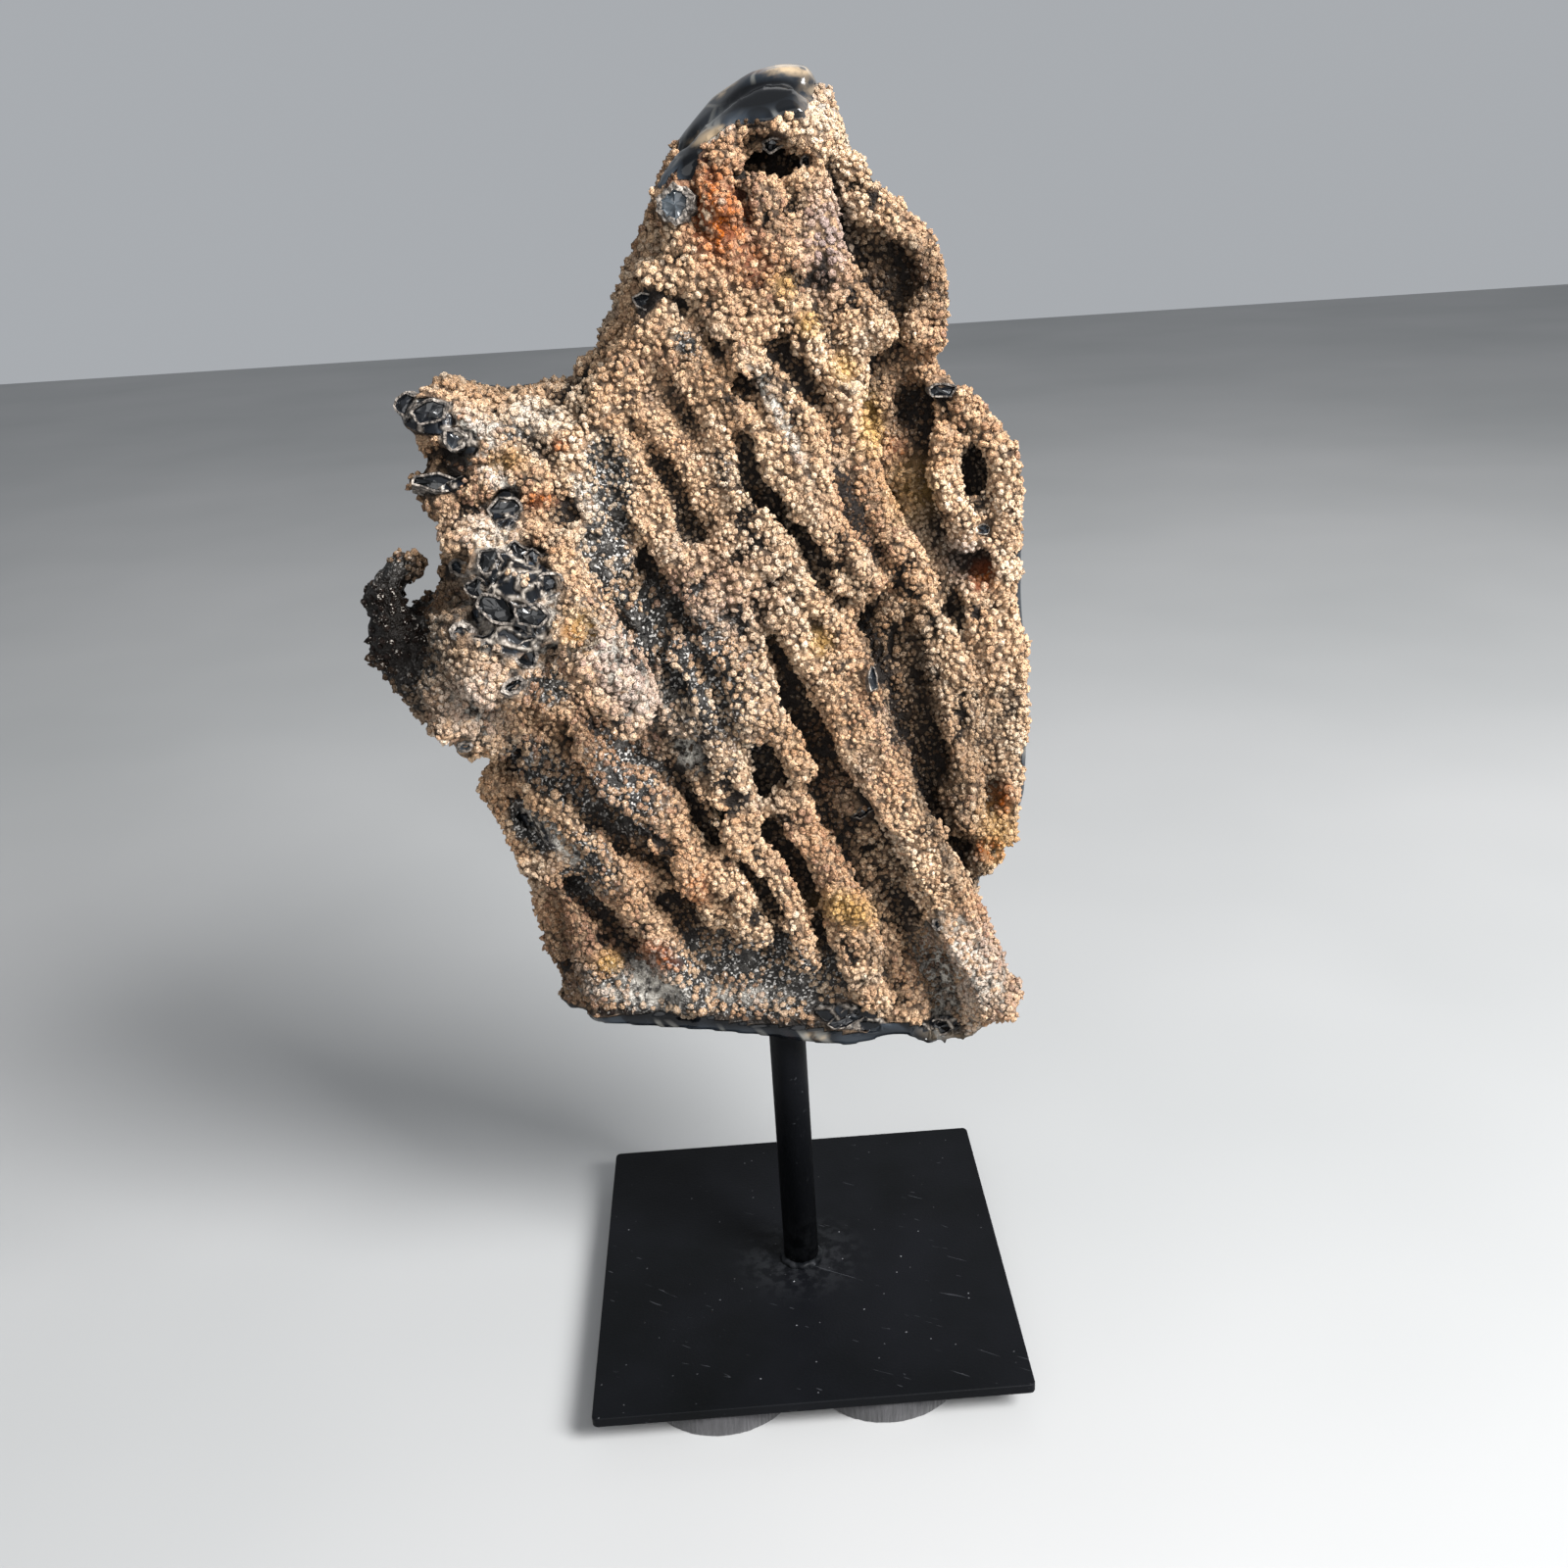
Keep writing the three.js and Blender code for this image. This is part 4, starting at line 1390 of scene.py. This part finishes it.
class FeltFinish:
    """Dark grey pressed felt, its fibres standing on the cut edge."""

    def material(self) -> bpy.types.Material:
        """Builds the finish.

        Returns:
            The material.
        """
        board = Board("grey_felt")
        place = board.here()
        upright = board.here((0, 0, 0), (1, 1, 0.12))
        fibre = board.noise(0.0009, upright, 4)
        stops = [(0.3, "#151518"), (0.7, "#323134")]
        colour = board.ramp(fibre * 0.7 + board.noise(0.006, place) * 0.3, stops)
        return board.finish([(fibre, 0.0005)], Base_Color=colour, Roughness=0.95, Sheen_Weight=0.3)


@dataclass
class Stand:
    """The steel stand: a square plate, a rod welded to its middle and four felt pads."""

    origin: Vector
    width: float = 120 * MM
    thickness: float = 3 * MM
    corner: float = 1.6 * MM
    edge: float = 0.45 * MM
    pad_radius: float = 22.5 * MM
    pad_height: float = 7 * MM
    pad_edge: float = 0.5 * MM
    rod_radius: float = 5.2 * MM
    crease_height: float = 80.4 * MM
    weld_radius: float = 1.2 * MM

    def build_plate(self, paint: bpy.types.Material) -> None:
        """The plate, cut from sheet, its corners and edges just broken.

        Args:
            paint: its finish.
        """
        made = bmesh.new()
        middle = self.origin - Vector((0, 0, self.thickness / 2))
        size = Matrix.Diagonal((self.width, self.width, self.thickness, 1))
        bmesh.ops.create_cube(made, size=1, matrix=Matrix.Translation(middle) @ size)
        upright = [e for e in made.edges if abs(e.verts[0].co.z - e.verts[1].co.z) > 1e-4]
        bevel(made, upright, self.corner, 4)
        sharp = [e for e in made.edges if e.calc_face_angle(0) > 1.2]
        bevel(made, sharp, self.edge, 3)
        mesh = mesh_from(made, "plate", smooth=False)
        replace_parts(piece("steel_plate", mesh, "stand_paint", paint), "base_plate")

    def build_rod(self, paint: bpy.types.Material) -> None:
        """The rod and the bead of weld round its foot.

        Args:
            paint: their finish.
        """
        made = bmesh.new()
        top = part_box("rod")[1].z - self.origin.z
        side = self.rod_radius
        crease = self.crease_height
        profile = [(0, 0), (side, 0), (side, crease - 0.8 * MM), (side + 0.12 * MM, crease)]
        profile += [(side, crease + 0.6 * MM), (side, top - 1 * MM), (side - 1 * MM, top), (0, top)]
        line = [made.verts.new(self.origin + Vector((x, 0, z))) for x, z in profile]
        for low, high in zip(line, line[1:]):
            made.edges.new((low, high))
        spin(made, self.origin, 48)
        bmesh.ops.remove_doubles(made, verts=made.verts, dist=1e-6)
        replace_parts(piece("steel_rod", mesh_from(made, "rod"), "stand_paint", paint), "rod")
        bead = bmesh.new()
        ring = bmesh.ops.create_circle(bead, cap_ends=False, segments=10, radius=self.weld_radius)["verts"]
        foot = Matrix.Translation(self.origin + Vector((side + 0.1 * MM, 0, 0.4 * MM)))
        out = foot @ Matrix.Rotation(math.pi / 2, 4, "X")
        bmesh.ops.transform(bead, matrix=out, verts=ring)
        spin(bead, self.origin, 72)
        for vert in bead.verts:
            flat = vert.co - self.origin
            angle = math.atan2(flat.y, flat.x)
            wave = 1 + 0.05 * math.sin(17 * angle) + 0.05 * math.sin(5 * angle + 1)
            vert.co.z = self.origin.z + (flat.z * wave)
            vert.co.x = self.origin.x + flat.x * (1 + 0.03 * math.sin(11 * angle))
            vert.co.y = self.origin.y + flat.y * (1 + 0.03 * math.sin(11 * angle))
        piece("weld_bead", mesh_from(bead, "bead"), "stand_paint", paint)

    def build_pad(self, node: str, felt: bpy.types.Material) -> None:
        """One felt pad under the plate, its edge soft and a little uneven.

        Args:
            node: the node that it stands for.
            felt: its finish.
        """
        low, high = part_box(node)
        middle = (low + high) / 2
        made = bmesh.new()
        bmesh.ops.create_cone(
            made,
            cap_ends=True,
            segments=96,
            radius1=self.pad_radius,
            radius2=self.pad_radius,
            depth=self.pad_height,
            matrix=Matrix.Translation(middle),
        )
        rims = [e for e in made.edges if e.calc_face_angle(0) > 1.2]
        bevel(made, rims, self.pad_edge, 3)
        for vert in made.verts:
            flat = vert.co - middle
            angle = math.atan2(flat.y, flat.x)
            fray = 1 - 0.004 * (1 + math.sin(31 * angle + middle.x * 900) * math.sin(12 * angle))
            vert.co.x = middle.x + flat.x * fray
            vert.co.y = middle.y + flat.y * fray
        mesh = mesh_from(made, node + "_felt")
        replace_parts(piece(node + "_felt", mesh, "felt", felt), node)


class Studio:
    """A pale floor, soft light from the upper right and an even sky."""

    def build(self, origin: Vector) -> None:
        """Makes the floor, the lamps and the sky.

        Args:
            origin: the centre of the plate's top face.
        """
        made = bmesh.new()
        bmesh.ops.create_grid(made, x_segments=1, y_segments=1, size=3)
        floor = bpy.data.objects.new("floor", mesh_from(made, "floor"))
        board = Board("floor_paint")
        colour = board.ramp(board.noise(0.4, board.here()), [(0.3, "#919292"), (0.7, "#9D9D9D")])
        floor.data.materials.append(board.finish([], Base_Color=colour, Roughness=0.6))
        bpy.context.scene.collection.objects.link(floor)
        aim = origin + Vector((0, 0, 0.18))
        self.lamp("key", aim, Vector((0.84, -0.7, 0.82)), 0.6, 62.0)
        self.lamp("fill", aim, Vector((-0.1, -1.0, 0.45)), 1.0, 7.0)
        self.lamp("back", aim, Vector((0.3, 1.0, 0.9)), 0.8, 1.5)
        world = bpy.data.worlds.new("sky")
        bpy.context.scene.world = world
        world.use_nodes = True
        sky = world.node_tree.nodes["Background"]
        sky.inputs["Color"].default_value = (0.86, 0.9, 0.95, 1)
        sky.inputs["Strength"].default_value = 0.46
        bpy.context.scene.view_settings.view_transform = "Standard"

    @staticmethod
    def lamp(name: str, aim: Vector, way: Vector, size: float, power: float) -> None:
        """One square lamp that faces the stone.

        Args:
            name: the lamp's name.
            aim: what it faces.
            way: from the aim to the lamp.
            size: its width in metres.
            power: its watts.
        """
        data = bpy.data.lights.new(name, "AREA")
        data.size = size
        data.energy = power
        lamp = bpy.data.objects.new(name, data)
        turn = way.to_track_quat("Z", "Y").to_matrix().to_4x4()
        lamp.matrix_world = Matrix.Translation(aim + way) @ turn
        bpy.context.scene.collection.objects.link(lamp)


def main() -> None:
    """Builds the whole object and its studio."""
    logging.basicConfig(level=logging.INFO, format="%(name)s: %(message)s")
    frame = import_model()
    low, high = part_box("base_plate")
    origin = Vector(((low.x + high.x) / 2, (low.y + high.y) / 2, high.z))
    view = Viewpoint(origin)
    view.place_camera()
    stone = Stone(origin, view, frame["nodes"]["coral_head"])
    stone.build_body(AgateFinish().material())
    stone.build_crust(CrustFinish().material())
    cells = CellFinish()
    stone.build_tubes(cells.wall(), cells.core())
    stand = Stand(origin)
    paint = PaintFinish(tuple(origin)).material()
    stand.build_plate(paint)
    stand.build_rod(paint)
    felt = FeltFinish().material()
    for place in ("front_left", "front_right", "rear_left", "rear_right"):
        stand.build_pad("felt_pad_" + place, felt)
    Studio().build(origin)


if __name__ == "__main__":
    main()
